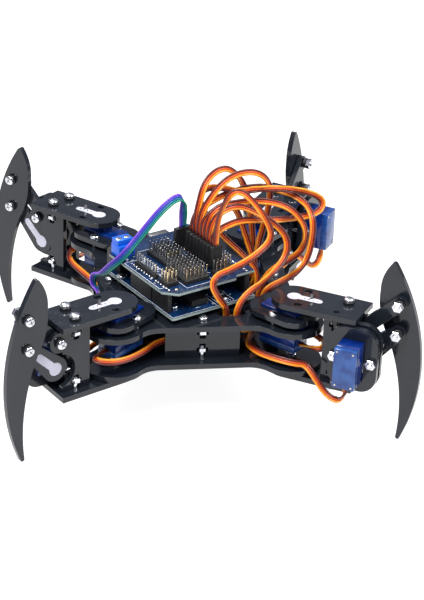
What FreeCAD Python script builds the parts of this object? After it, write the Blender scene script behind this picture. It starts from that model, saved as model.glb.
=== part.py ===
"""Four-legged walking robot kit: laser-cut sheet frame, eight micro servos, stacked boards.

Frame: +Z up, floor at z = 0, front towards -Y. Each leg is drawn once in a leg frame whose
origin is on the hip axis at the floor: X runs out along the leg, Y to its arm side, Z up.
"""
import FreeCAD, Part
import math
import os

V = FreeCAD.Vector

# ---------------------------------------------------------------- driving dimensions
SIZES = {
    # sheet parts
    "sheet": 3.0, "gap": 0.3, "hole_rad": 1.6, "slot_clear": 0.1,
    # chassis: hip axes, decks and walls
    "centre_x": -2.489, "centre_y": -8.579,
    "hip_x": 47.3, "hip_y": 52.9, "edge_out": 4.9, "pad_rad": 16.5, "pad_blend": 14.0,
    "lower_z": 33.3, "deck_gap": 19.2, "wall_in": 7.7, "side_in": 5.5, "wall_w": 40.0, "tab_w": 7.0,
    "belly_rad": 9.0, "belly_x": 50.0, "belly_y": 36.0,
    # hip bracket
    "hub_rad": 12.0, "leg_half": 12.0, "leg_end": 39.8, "inner_u": 20.2, "top_gap": 11.5,
    "near_n": 7.0, "far_n": -5.2, "near_bolt_u": 28.5, "far_bolt_u": 26.3,
    "tab_pitch": 6.8, "leg_tab": 4.0,
    # linkage
    "lift_u": 39.0, "lift_z": 46.0, "link_du": -0.4, "link_dz": 16.8, "arm_len": 26.6,
    "rest_lift": 44.5, "arm_n": 3.6, "arm_rad": 3.9, "arm_hub": 7.0, "notch_rad": 9.8, "lobe_rad": 5.8,
    # micro servo
    "case_l": 22.8, "case_w": 12.2, "case_deep": 22.7, "ear_l": 32.2, "ear_t": 2.5, "ear_at": 15.9,
    "axis_off": 5.5, "boss_rad": 5.9, "boss_deep": 4.4, "shaft_rad": 2.3, "shaft_deep": 3.0,
    "window": 0.3, "clamp_w": 27.0, "clamp_l": 36.0, "clamp_round": 9.5, "clamp_bolt": 10.3,
    # horn
    "horn_len": 13.9, "horn_hub": 3.7, "horn_tip": 2.1, "horn_t": 2.9,
    # fasteners
    "bolt_rad": 1.5, "head_rad": 2.8, "head_t": 1.9, "spacer_rad": 3.0, "spacer_t": 1.5,
    "nut_rad": 3.1, "nut_t": 2.3, "pin_rad": 0.9,
    # boards
    "board_x": -8.9, "board_y": -13.6, "board_turn": 27.0, "board_t": 1.6,
    "main_w": 53.4, "main_l": 68.6, "main_z": 61.5, "shield_w": 57.0, "shield_l": 65.0,
    "shield_z": 74.3, "shield_cut": 6.5, "pitch": 2.54, "pin_w": 0.64,
    "header_h": 2.5, "socket_h": 8.5, "plug_h": 12.0, "plug_pitch": 3.2, "post_rad": 2.5,
    # cables and the module they reach inside the chassis
    "cable_rad": 1.3, "module_x": -33.5, "module_y": 4.5, "module_z": 38.4, "module_w": 15.2, "module_l": 34.0,
}

LEGS = {"front_left": (-1, -1, 210.0), "front_right": (1, -1, 329.0),
        "rear_right": (1, 1, 57.0), "rear_left": (-1, 1, 139.0)}

doc = FreeCAD.newDocument("walking_robot")
sheet = doc.addObject("Spreadsheet::Sheet", "sizes")
for row, (alias, value) in enumerate(SIZES.items(), start=1):
    sheet.set("A%d" % row, alias)
    sheet.set("B%d" % row, str(value))
    sheet.setAlias("B%d" % row, alias)
doc.recompute()


class Size:
    """Attribute access to the sheet's cells, so Size.sheet is the cell called sheet."""

    def __getattr__(self, alias):
        return float(sheet.get(alias))


S = Size()
COUNT = {}


def name(stem):
    COUNT[stem] = COUNT.get(stem, 0) + 1
    return "%s_%d" % (stem, COUNT[stem])


def cells(text):
    """Turn bare aliases in a formula into cell references."""
    words, word = [], ""
    for char in str(text) + " ":
        if char.isalnum() or char in "_.":
            word += char
            continue
        words.append("sizes." + word if word in SIZES else word)
        words.append(char)
        word = ""
    return "".join(words).strip()


def bind(piece, **formulas):
    for prop, formula in formulas.items():
        piece.setExpression(prop, cells(formula))
    return piece


def put(piece, x=0, y=0, z=0, turn=None):
    """Place a piece by formulas; turn is (axis, degrees)."""
    if turn:
        piece.Placement.Rotation = FreeCAD.Rotation(V(*turn[0]), turn[1])
    for axis, formula in zip("xyz", (x, y, z)):
        piece.setExpression("Placement.Base." + axis, cells(formula))
    return piece


def box(length, width, height, x=0, y=0, z=0):
    """Box by its lowest corner."""
    piece = doc.addObject("Part::Box", name("box"))
    return put(bind(piece, Length=length, Width=width, Height=height), x, y, z)


AXES = {"z": None, "y": ((1, 0, 0), -90), "x": ((0, 1, 0), 90)}


def rod(radius, height, x=0, y=0, z=0, along="z"):
    """Cylinder from its base point towards +X, +Y or +Z."""
    piece = doc.addObject("Part::Cylinder", name("rod"))
    return put(bind(piece, Radius=radius, Height=height), x, y, z, AXES[along])


def nut(height, x=0, y=0, z=0, along="z"):
    piece = doc.addObject("Part::Prism", name("nut"))
    piece.Polygon = 6
    return put(bind(piece, Circumradius="nut_rad", Height=height), x, y, z, AXES[along])


def fuse(*pieces):
    whole = doc.addObject("Part::MultiFuse", name("fuse"))
    whole.Shapes = list(pieces)
    return whole


def group(*pieces):
    whole = doc.addObject("Part::Compound", name("group"))
    whole.Links = list(pieces)
    return whole


def cut(base, *tools):
    piece = doc.addObject("Part::Cut", name("cut"))
    piece.Base = base
    piece.Tool = tools[0] if len(tools) == 1 else fuse(*tools)
    return piece


def plate(edges, x=0, y=0, z=0, upright=False, thick="sheet"):
    """Sheet part padded from an outline. Upright: the outline is (u, z), front face at y."""
    body = doc.addObject("PartDesign::Body", name("plate"))
    sketch = body.newObject("Sketcher::SketchObject", name("outline"))
    flat = [o for o in body.Origin.OriginFeatures if o.Role == "XY_Plane"][0]
    sketch.AttachmentSupport = (flat, [""])
    sketch.MapMode = "FlatFace"
    sketch.addGeometry(edges, False)
    pad = body.newObject("PartDesign::Pad", name("pad"))
    pad.Profile = sketch
    pad.setExpression("Length", cells(thick))
    return put(body, x, y, z, ((1, 0, 0), 90) if upright else None)


def line(a, b):
    return Part.LineSegment(V(a[0], a[1], 0), V(b[0], b[1], 0))


def arc(a, through, b):
    return Part.Arc(V(a[0], a[1], 0), V(through[0], through[1], 0), V(b[0], b[1], 0))


def round_outline(points, radii):
    """Closed outline through the points with each corner rounded (radius 0 keeps it sharp)."""
    count = len(points)
    starts, ends, mids = [], [], []
    for i, radius in enumerate(radii):
        corner = V(points[i][0], points[i][1], 0)
        back = (V(*points[i - 1], 0) - corner).normalize()
        ahead = (V(*points[(i + 1) % count], 0) - corner).normalize()
        half = back.getAngle(ahead) / 2
        reach = radius / math.tan(half) if radius else 0
        starts.append(corner + back * reach)
        ends.append(corner + ahead * reach)
        inward = (back + ahead).normalize()
        mids.append(corner + inward * (radius / math.sin(half) - radius) if radius else corner)
    edges = []
    for i in range(count):
        if radii[i]:
            edges.append(arc(starts[i], mids[i], ends[i]))
        after = starts[(i + 1) % count]
        if (after - ends[i]).Length > 1e-6:
            edges.append(line(ends[i], after))
    return edges


def rounded_box(width, length, radius):
    w, h = width / 2, length / 2
    return round_outline([(-w, -h), (w, -h), (w, h), (-w, h)], [radius] * 4)


def link_outline(length, root_rad, tip_rad):
    """Two round ends, at (0, 0) and (length, 0), joined by their common tangents."""
    lean = math.acos((root_rad - tip_rad) / length)
    side = V(math.cos(lean), math.sin(lean), 0)
    low = V(side.x, -side.y, 0)
    tip = V(length, 0, 0)
    return [line(low * root_rad, tip + low * tip_rad),
            arc(tip + low * tip_rad, (length + tip_rad, 0), tip + side * tip_rad),
            line(tip + side * tip_rad, side * root_rad),
            arc(side * root_rad, (-root_rad, 0), low * root_rad)]


# ---------------------------------------------------------------- repeated hardware
def bolt(x, y, z, grip, up=True, spacer=True, along="z"):
    """Pan head over a plain spacer on one face, shank through grip, nut at the far face.

    (x, y, z) is the face under the spacer; the head points to +Z or +Y, or the other way.
    """
    axis = {"z": 2, "y": 1}[along]

    def at(low, high):
        place = [x, y, z]
        place[axis] = "%s + (%s)" % (place[axis], low if up else "0 - (%s)" % high)
        return place

    rise = "spacer_t" if spacer else "0"
    total = "(%s)" % grip
    parts = [rod("head_rad", "head_t", *at(rise, rise + " + head_t"), along),
             rod("bolt_rad", "%s + %s + nut_t + 1" % (rise, total),
                 *at("0 - %s - nut_t - 1" % total, rise), along)]
    whole = [fuse(*parts)]
    if spacer:
        ring = rod("spacer_rad", "spacer_t", *at("0", "spacer_t"), along)
        bore = rod("bolt_rad", "spacer_t", *at("0", "spacer_t"), along)
        whole.append(cut(ring, bore))
    ring = nut("nut_t", *at("0 - %s - nut_t" % total, "0 - %s" % total), along)
    bore = rod("bolt_rad", "nut_t", *at("0 - %s - nut_t" % total, "0 - %s" % total), along)
    whole.append(cut(ring, bore))
    return whole


def servo():
    """Micro servo on its back: shaft axis at the origin, shaft towards +Z, ears' top face at z = 0.

    The case runs towards -X from the shaft.
    """
    top = "case_deep - ear_at - ear_t"
    case = box("case_l", "case_w", "case_deep", "0 - case_l / 2 - axis_off", "0 - case_w / 2",
               "0 - ear_at - ear_t")
    ears = box("ear_l", "case_w", "ear_t", "0 - ear_l / 2 - axis_off", "0 - case_w / 2", "0 - ear_t")
    boss = rod("boss_rad", "boss_deep", 0, 0, top)
    bump = rod("boss_rad / 2", "boss_deep", "0 - boss_rad", 0, top)
    shaft = rod("shaft_rad", "shaft_deep", 0, 0, top + " + boss_deep")
    screw_holes = [rod("1", "ear_t", "%s (ear_l / 2 - 2.3) - axis_off" % sign, 0, "0 - ear_t")
                   for sign in ("", "0 -")]
    return cut(fuse(case, ears, boss, bump, shaft), *screw_holes)


def horn_solid(grow="0", thick="horn_t", z="0"):
    """Single-arm horn from the origin along +X."""
    hub = rod("horn_hub + " + grow, thick, 0, 0, z)
    tip = rod("horn_tip + " + grow, thick, "horn_len", 0, z)
    arm = box("horn_len", "2 * (horn_tip + %s)" % grow, thick, 0, "0 - horn_tip - " + grow, z)
    return fuse(hub, tip, arm)


def horn():
    return cut(horn_solid(), rod("shaft_rad + 0.05", "horn_t", 0, 0, 0))


def servo_clamp(x=0, y=0, z=0, upright=False, across=False):
    """Rounded plate centred on the servo's case; across turns its length along +X."""
    length, width = (S.clamp_w, S.clamp_l)[::-1] if across else (S.clamp_w, S.clamp_l)
    return plate(rounded_box(length, width, S.clamp_round), x, y, z, upright)


# ---------------------------------------------------------------- chassis
UPPER_Z = "lower_z + sheet + deck_gap"
DECK_Z = "(lower_z + sheet + deck_gap + sheet)"
TOP_Z = "(%s + top_gap)" % DECK_Z
BRACKET_Z = "(lower_z - gap)"
CASE_Z = "(lift_z + axis_off)"


def deck_outline():
    """Rectangle with a round pad at each hip axis, blended into the straight edges."""
    x, y, r, f = S.hip_x, S.hip_y, S.pad_rad, S.pad_blend
    out = S.edge_out
    reach = math.sqrt((r + f) ** 2 - (out + f) ** 2)
    share = r / (r + f)
    edges = []
    for quarter, (sx, sy) in enumerate(((1, -1), (1, 1), (-1, 1), (-1, -1))):
        hip = V(sx * x, sy * y, 0)
        on_y = V(-sx * reach, sy * (out + f), 0)
        on_x = V(sx * (out + f), -sy * reach, 0)
        seat_y, seat_x = hip + on_y * share, hip + on_x * share
        flat_y, flat_x = hip + V(on_y.x, sy * out, 0), hip + V(sx * out, on_x.y, 0)
        mid_y = hip + on_y + ((seat_y + flat_y) * 0.5 - hip - on_y).normalize() * f
        mid_x = hip + on_x + ((seat_x + flat_x) * 0.5 - hip - on_x).normalize() * f
        far = hip + V(sx, sy, 0).normalize() * r
        corner = [arc(flat_y, mid_y, seat_y), arc(seat_y, far, seat_x), arc(seat_x, mid_x, flat_x)]
        straight = (line(flat_x, V(flat_x.x, -flat_x.y, 0)) if quarter in (0, 2)
                    else line(V(-flat_y.x, flat_y.y, 0), flat_y))
        edges += corner + [straight]
    return edges


def wall_places():
    """Middle of each wall's outer face and the turn of the wall, front, right, rear, left."""
    x = "(hip_x + edge_out - side_in)"
    y = "(hip_y + edge_out - wall_in)"
    return {"front": ("0", "0 - " + y, 0), "right": (x, "0", 90),
            "rear": ("0", y, 180), "left": ("0 - " + x, "0", 270)}


def wall():
    """Wall in its own frame: outer face at y = 0, standing on the lower deck at z = 0."""
    panel = box("wall_w", "sheet", "deck_gap", "0 - wall_w / 2", 0, 0)
    tabs = [box("tab_w", "sheet", "sheet", "%s - tab_w / 2" % side, 0, z)
            for side in ("wall_w / 4 + 3", "0 - wall_w / 4 - 3") for z in ("0 - sheet", "deck_gap")]
    slots = []
    for foot, low in (("0", "5"), ("deck_gap - 8", "0 - 3")):
        slots.append(box("2 * bolt_rad + 0.3", "sheet", "8", "0 - bolt_rad - 0.15", 0, foot))
        slots.append(box("2 * nut_rad", "sheet", "nut_t + 0.2", "0 - nut_rad", 0,
                         "%s" % ("3.2" if foot == "0" else "deck_gap - 3.2 - nut_t - 0.2")))
    return cut(fuse(panel, *tabs), *slots)


def wall_tab_slots(z):
    """The slots that one deck needs for the tabs of the four walls."""
    slots = []
    for x, y, turn in wall_places().values():
        for side in ("wall_w / 4 + 3", "0 - wall_w / 4 - 3"):
            slot = box("tab_w + 2 * slot_clear", "sheet + 2 * slot_clear", "sheet",
                       side + " - tab_w / 2 - slot_clear", "0 - slot_clear", 0)
            slots.append(put(group(slot), x, y, z, ((0, 0, 1), turn)))
        hole = rod("hole_rad", "sheet", 0, "sheet / 2", 0)
        slots.append(put(group(hole), x, y, z, ((0, 0, 1), turn)))
    return slots


def inward(sx, sy):
    """Turn of a hip servo, whose case runs towards the middle of the chassis."""
    return math.degrees(math.atan2(sy, sx))


def at_hips(make, z, legs=LEGS):
    """One copy of a piece at each hip axis, turned so that its +X points outward."""
    pieces = []
    for sx, sy, _ in legs.values():
        pieces.append(put(group(*make()), "%d * hip_x" % sx, "%d * hip_y" % sy, z,
                          ((0, 0, 1), inward(sx, sy))))
    return pieces


def servo_window(thick="sheet"):
    return [box("case_l + window", "case_w + window", thick,
                "0 - axis_off - (case_l + window) / 2", "0 - (case_w + window) / 2", 0)]


def clamp_holes():
    return [rod("hole_rad", "sheet", "0 - axis_off", "%s clamp_bolt" % sign, 0) for sign in ("", "0 -")]


def cable_openings():
    """Slots of the upper deck through which the ribbons come up, along the right and at the front."""
    long_slot = fuse(box("10", "43", "sheet", "31", "0 - 21.5", UPPER_Z),
                     rod("5", "sheet", "36", "0 - 21.5", UPPER_Z), rod("5", "sheet", "36", "21.5", UPPER_Z))
    short_slot = fuse(box("9", "6.6", "sheet", "11.2", "0 - 45.9", UPPER_Z),
                      rod("3.3", "sheet", "11.2", "0 - 42.6", UPPER_Z),
                      rod("3.3", "sheet", "20.2", "0 - 42.6", UPPER_Z))
    return [long_slot, short_slot]


def belly_holes():
    return [rod("hole_rad", "sheet", "%s belly_x / 2" % sx, "%s belly_y / 2" % sy, "lower_z")
            for sx in ("", "0 -") for sy in ("", "0 -")]


def chassis():
    lower = cut(plate(deck_outline(), 0, 0, "lower_z"), *wall_tab_slots("lower_z"),
                *at_hips(lambda: [rod("hole_rad", "sheet")], "lower_z"),
                rod("belly_rad", "sheet", 0, 0, "lower_z"), *belly_holes())
    post_holes = group(*[rod("hole_rad", "sheet", w, h) for w, h in BOARD_POSTS])
    upper = cut(plate(deck_outline(), 0, 0, UPPER_Z), *wall_tab_slots(UPPER_Z),
                *at_hips(lambda: servo_window() + clamp_holes(), UPPER_Z),
                board_place(post_holes, UPPER_Z), *cable_openings())
    walls = [put(group(wall()), x, y, "lower_z + sheet", ((0, 0, 1), turn))
             for x, y, turn in wall_places().values()]
    servos = at_hips(lambda: [servo()], DECK_Z + " + ear_t")
    clamps = at_hips(lambda: [cut(servo_clamp("0 - axis_off", across=True), *servo_window(), *clamp_holes())],
                     DECK_Z + " + ear_t")
    return lower, upper, walls, servos, clamps


BOARD_POSTS = ((-24.1, 20.3), (24.1, 19.4), (-19.0, -23.5), (8.9, -29.0))   # in the board's own frame


def board_standoffs():
    """Four plain standoffs under the controller board, each with its screw and nut."""
    solids = []
    height = "(main_z - %s)" % DECK_Z
    for w, h in BOARD_POSTS:
        head = rod("head_rad", "head_t", w, h, "main_z + board_t")
        shank = rod("bolt_rad", height + " + sheet + board_t + nut_t + 0.5", w, h, UPPER_Z + " - nut_t - 0.5")
        ring = rod("post_rad", height, w, h, DECK_Z)
        bore = rod("bolt_rad", height, w, h, DECK_Z)
        under = nut("nut_t", w, h, UPPER_Z + " - nut_t")
        thread = rod("bolt_rad", "nut_t", w, h, UPPER_Z + " - nut_t")
        solids += [fuse(head, shank), cut(ring, bore), cut(under, thread)]
    return board_place(group(*solids), "0")


def chassis_bolts():
    bolts = []
    for x, y, turn in wall_places().values():
        up = bolt("0", "sheet / 2", DECK_Z, "3 + 3.3", spacer=False)
        down = bolt("0", "sheet / 2", "lower_z", "3 + 3.3", up=False, spacer=False)
        bolts.append(put(group(*up, *down), x, y, 0, ((0, 0, 1), turn)))
    for sx, sy, _ in LEGS.values():
        pair = []
        for sign in ("", "0 -"):
            pair += bolt("0 - axis_off", "%s clamp_bolt" % sign, "0", "sheet + ear_t + sheet", spacer=False)
        bolts.append(put(group(*pair), "%d * hip_x" % sx, "%d * hip_y" % sy,
                         DECK_Z + " + ear_t + sheet", ((0, 0, 1), inward(sx, sy))))
    return bolts


# ---------------------------------------------------------------- boards
def board_place(piece, z):
    piece.Placement.Rotation = FreeCAD.Rotation(V(0, 0, 1), S.board_turn)
    return put(piece, "board_x", "board_y", z)


SOCKETS = (("-25.4", "-27.5", 6), ("-25.4", "-11.2", 8), ("22.9", "-29.4", 8), ("22.9", "-9", 10))


def main_board():
    edges = rounded_box(S.main_w, S.main_l, 1.5)
    board = plate(edges, thick="board_t")
    holes = [rod("hole_rad", "board_t", w, h) for w, h in BOARD_POSTS]
    usb = box("12", "16.2", "10.9", "5.1", "main_l / 2 - 10", "board_t")
    jack = box("9", "13.2", "11", "-23.4", "main_l / 2 - 10.6", "board_t")
    chip = box("10.2", "35.4", "3.6", "-11", "-29", "board_t")
    sockets = [box("pitch", "%d * pitch" % pins, "socket_h", x, y, "board_t")
               for x, y, pins in SOCKETS]
    return fuse(cut(board, *holes), usb, jack, chip, *sockets)


def shield_board():
    w, h, c = S.shield_w / 2, S.shield_l / 2, S.shield_cut
    edges = round_outline([(-w + c, -h), (w - 14, -h), (w - 12, -h + 3), (w, -h + 3), (w, h - c), (w - c, h),
                           (-w + c, h), (-w, h - c), (-w, -h + c)], [0] * 9)
    board = plate(edges, thick="board_t")
    terminal = box("10.2", "8.2", "9.6", "0 - shield_w / 2 + 1.2", "shield_l / 2 - 14.5", "board_t")
    drop = "(shield_z - main_z - board_t - socket_h)"
    legs = [box("pitch", "%d * pitch" % pins, drop, x, y, "0 - " + drop) for x, y, pins in SOCKETS]
    return fuse(board, terminal, *legs)


HEADERS = (  # first pin across, first pin along, columns, rows, in pitches from the board's middle
    (-5.5, -10.5, 6, 8), (-4.5, -2.0, 5, 8), (2.0, -10.5, 3, 2), (5.5, -9.0, 2, 5),
    (-9.5, -9.5, 3, 3), (-9.5, -5.0, 1, 8))


def pin_headers():
    """Base strips with their square pins, one solid a header."""
    solids = []
    for x, y, columns, rows in HEADERS:
        base = box("%d * pitch" % columns, "%d * pitch" % rows, "2.5", "%s * pitch" % x, "%s * pitch" % y, 0)
        pins = [box("pin_w", "pin_w", "8.5", "%s * pitch - pin_w / 2" % (x + 0.5 + i),
                    "%s * pitch - pin_w / 2" % (y + 0.5 + j), 0)
                for i in range(columns) for j in range(rows)]
        solids.append(fuse(base, *pins))
    return group(*solids)


def servo_plugs():
    """Eight three-way plugs and one four-way plug, on the pins of the servo header."""
    plugs = [box("3 * pitch", "pitch", "plug_h", "9.9 - 1.5 * pitch", "%d * plug_pitch - 19 - pitch / 2" % i,
                 "header_h") for i in range(8)]
    plugs.append(box("4 * pitch", "pitch", "plug_h", "7.43 - 2 * pitch", "9.11 - pitch / 2", "header_h"))
    return group(*plugs)


def radio_module():
    """Small board on the lower deck that the four-wire ribbon reaches."""
    board = box("module_w", "module_l", "board_t", "0 - module_w / 2", "0 - module_l / 2", 0)
    pad = box("module_w - 4", "module_l - 6", "module_z - lower_z - sheet", "2 - module_w / 2",
              "3 - module_l / 2", "lower_z + sheet - module_z")
    can = box("12", "15", "2.4", "-6", "0", "board_t")
    plug = box("4 * pitch", "pitch", "46 - module_z - board_t", "0 - 2 * pitch",
               "0 - 13.5 - pitch / 2", "board_t")
    return put(group(fuse(pad, board, can, plug)), "module_x", "module_y", "module_z")


# ---------------------------------------------------------------- one leg, in the leg frame
def bracket_outline():
    r, w, end = S.hub_rad, S.leg_half, S.leg_end
    return [line((0, -w), (end - 1, -w)), line((end - 1, -w), (end, w)), line((end, w), (0, w)),
            arc((0, w), (-r, 0), (0, -w))]


def bracket_slots(z):
    """Tab slots and bolt holes of a hip plate for the two side plates."""
    slots = []
    for face, u in (("near_n", "near_bolt_u"), ("far_n", "far_bolt_u")):
        for side in ("- tab_pitch", "+ tab_pitch"):
            slots.append(box("leg_tab + 2 * slot_clear", "sheet + 2 * slot_clear", "sheet",
                             "%s %s - leg_tab / 2 - slot_clear" % (u, side),
                             "%s - sheet - slot_clear" % face, z))
        slots.append(rod("hole_rad", "sheet", u, "%s - sheet / 2" % face, z))
    return slots


def hip_top_plate():
    z = TOP_Z
    spare = [box("4", "3", "sheet", "3.2", n, z) for n in ("7", "0 - 10")]
    return cut(plate(bracket_outline(), 0, 0, z), horn_solid("0.1", "sheet", z), *bracket_slots(z), *spare)


def hip_bottom_plate():
    z = BRACKET_Z + " - sheet"
    return cut(plate(bracket_outline(), 0, 0, z), rod("hole_rad", "sheet", 0, 0, z), *bracket_slots(z))


def side_tabs(u, face):
    return [box("leg_tab", "sheet", "sheet", "%s %s - leg_tab / 2" % (u, side), "%s - sheet" % face, z)
            for side in ("- tab_pitch", "+ tab_pitch") for z in (BRACKET_Z + " - sheet", TOP_Z)]


def tee_slots(u, face):
    """Slots for the bolts that pull a hip plate onto the side plate, each with its captured nut."""
    slots = []
    y = "%s - sheet" % face
    for foot, nut_foot in ((BRACKET_Z, BRACKET_Z + " + 3.2"), (TOP_Z + " - 8", TOP_Z + " - 3.4 - nut_t")):
        slots.append(box("2 * bolt_rad + 0.3", "sheet", "8", "%s - bolt_rad - 0.15" % u, y, foot))
        slots.append(box("2 * nut_rad", "sheet", "nut_t + 0.2", "%s - nut_rad" % u, y, nut_foot))
    return slots


def side_plates():
    height = "%s - %s" % (TOP_Z, BRACKET_Z)
    lift_p = ("lift_u + link_du", "near_n - sheet", "lift_z + link_dz")
    near = fuse(box("lift_u - 2 - inner_u", "sheet", height, "inner_u", "near_n - sheet", BRACKET_Z),
                rod("lobe_rad", "sheet", *lift_p, "y"), *side_tabs("near_bolt_u", "near_n"))
    near = cut(near, rod("notch_rad", "sheet", "lift_u", "near_n - sheet", "lift_z", "y"),
               rod("hole_rad", "sheet", *lift_p, "y"), *tee_slots("near_bolt_u", "near_n"))
    low, high = S.lower_z - S.gap, S.lower_z + 2 * S.sheet + S.deck_gap + S.top_gap
    out = S.lift_u + S.clamp_w / 2
    edges = round_outline([(S.inner_u, low), (out, low), (out, high), (S.inner_u, high)],
                          [0, S.clamp_round, S.clamp_round, 0])
    far = fuse(plate(edges, 0, "far_n", 0, upright=True), *side_tabs("far_bolt_u", "far_n"))
    window = box("case_w + window", "sheet", "case_l + window", "lift_u - (case_w + window) / 2",
                 "far_n - sheet", CASE_Z + " - (case_l + window) / 2")
    far = cut(far, window, *[rod("hole_rad", "sheet", "lift_u %s clamp_bolt" % sign, "far_n - sheet",
                                 CASE_Z, "y") for sign in "+-"], *tee_slots("far_bolt_u", "far_n"))
    face = "far_n - sheet - ear_t"
    clamp = servo_clamp("lift_u", face, CASE_Z, upright=True)
    window = box("case_w + window", "sheet", "case_l + window", "lift_u - (case_w + window) / 2",
                 face + " - sheet", CASE_Z + " - (case_l + window) / 2")
    clamp = cut(clamp, window, *[rod("hole_rad", "sheet", "lift_u %s clamp_bolt" % sign, face + " - sheet",
                                     CASE_Z, "y") for sign in "+-"])
    return group(near, far, clamp)


def leg_servo():
    """Case upright behind the far plate, shaft at its lower end towards the arms."""
    piece = group(servo())
    piece.Placement.Rotation = FreeCAD.Rotation(
        FreeCAD.Matrix(0, -1, 0, 0, 0, 0, 1, 0, -1, 0, 0, 0, 0, 0, 0, 1))
    return put(piece, "lift_u", "far_n - sheet", "lift_z")


def hip_horn():
    return put(group(horn()), 0, 0, TOP_Z + " + 0.05")


def hip_bolts(far_top=True):
    """Bolts of one hip. The front right hip has none through the far end of its top plate."""
    solids = []
    for face, u in (("near_n", "near_bolt_u"), ("far_n", "far_bolt_u")):
        y = "%s - sheet / 2" % face
        if far_top or face == "near_n":
            solids += bolt(u, y, TOP_Z + " + sheet", "sheet + 3.3")
        solids += bolt(u, y, BRACKET_Z + " - sheet", "sheet + 3.3", up=False)
    for sign in "+-":
        solids += bolt("lift_u %s clamp_bolt" % sign, "far_n", CASE_Z, "2 * sheet + ear_t",
                       spacer=False, along="y")
    solids += bolt("lift_u + link_du", "near_n", "lift_z + link_dz", "near_n - arm_n + sheet + 0.3",
                   along="y")
    solids += bolt("0", "0", BRACKET_Z + " - sheet", "2 * sheet + 2 * gap", up=False, spacer=False)
    solids.append(fuse(rod("pin_rad", "3.2", "0.7 * horn_len", 0, TOP_Z + " + horn_t + 0.05"),
                       rod("1.1", "0.8", "0.7 * horn_len", 0, TOP_Z + " + horn_t + 0.05")))
    return group(*solids)


def in_link_frame(piece, u, y, z):
    """Stand a piece drawn flat along +X up in the leg's plane, raised by the rest angle."""
    tilt = FreeCAD.Rotation(V(0, 1, 0), -S.rest_lift).multiply(FreeCAD.Rotation(V(1, 0, 0), 90))
    piece.Placement.Rotation = tilt
    return put(piece, u, y, z)


def lower_arm():
    arm = cut(plate(link_outline(S.arm_len, S.arm_hub, S.arm_rad)), horn_solid("0.1", "sheet"),
              rod("hole_rad", "sheet", "arm_len"))
    return in_link_frame(group(arm), "lift_u", "arm_n", "lift_z")


def leg_horn():
    """Horn in the arm's cut-out, its open face flush with the arm."""
    return in_link_frame(group(horn()), "lift_u", "arm_n - 0.05", "lift_z")


def upper_arm():
    arm = cut(plate(link_outline(S.arm_len, S.arm_rad, S.arm_rad - 0.01)), rod("hole_rad", "sheet"),
              rod("hole_rad", "sheet", "arm_len"))
    return in_link_frame(group(arm), "lift_u + link_du", "arm_n", "lift_z + link_dz")


FOOT_U = "(lift_u + arm_len * cos(rest_lift))"
FOOT_Z = "(lift_z + arm_len * sin(rest_lift))"


def foot():
    """Crescent blade: a long outer arc, a round belly behind the arms and a slim point."""
    tip = -(S.lift_z + S.arm_len * math.sin(math.radians(S.rest_lift)))
    edges = [arc((4.8, tip + 1.1), (12.8, -20.3), (-4.9, 36.9)),
             arc((-4.9, 36.9), (-6.1, 37.6), (-7.6, 36.6)),
             arc((-7.6, 36.6), (-11.2, 29.4), (-12.3, 20.6)),
             arc((-12.3, 20.6), (-11.4, 8.0), (-6.0, -5.4)),
             arc((-6.0, -5.4), (1.3, -29.3), (2.5, tip + 1.1)),
             arc((2.5, tip + 1.1), (3.65, tip), (4.8, tip + 1.1))]
    blade = plate(edges, 0, "near_n", 0, upright=True)
    holes = [rod("hole_rad", "sheet", u, "near_n - sheet", z, "y")
             for u, z in (("0", "0"), ("link_du", "link_dz"))]
    return put(group(cut(blade, *holes)), FOOT_U, 0, FOOT_Z)


def foot_bolts():
    """Bolts of the two foot pivots, each with a sleeve between the arm and its nut."""
    solids = []
    for u, z in (("0", "0"), ("link_du", "link_dz")):
        solids += bolt(u, "near_n", z, "near_n - arm_n + sheet + 0.3 + 2", along="y")
        ring = rod("spacer_rad", "2", u, "arm_n - sheet - 2.3", z, "y")
        solids.append(cut(ring, rod("bolt_rad", "2", u, "arm_n - sheet - 2.3", z, "y")))
    return put(group(*solids), FOOT_U, 0, FOOT_Z)


LEG_PIECES = {"hip_top_plate": hip_top_plate, "hip_bottom_plate": hip_bottom_plate,
              "hip_side_plates": side_plates, "leg_servo": leg_servo, "hip_horn": hip_horn,
              "hip_fasteners": hip_bolts, "lower_arm": lower_arm, "leg_horn": leg_horn,
              "upper_arm": upper_arm, "foot": foot, "foot_fasteners": foot_bolts}


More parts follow.
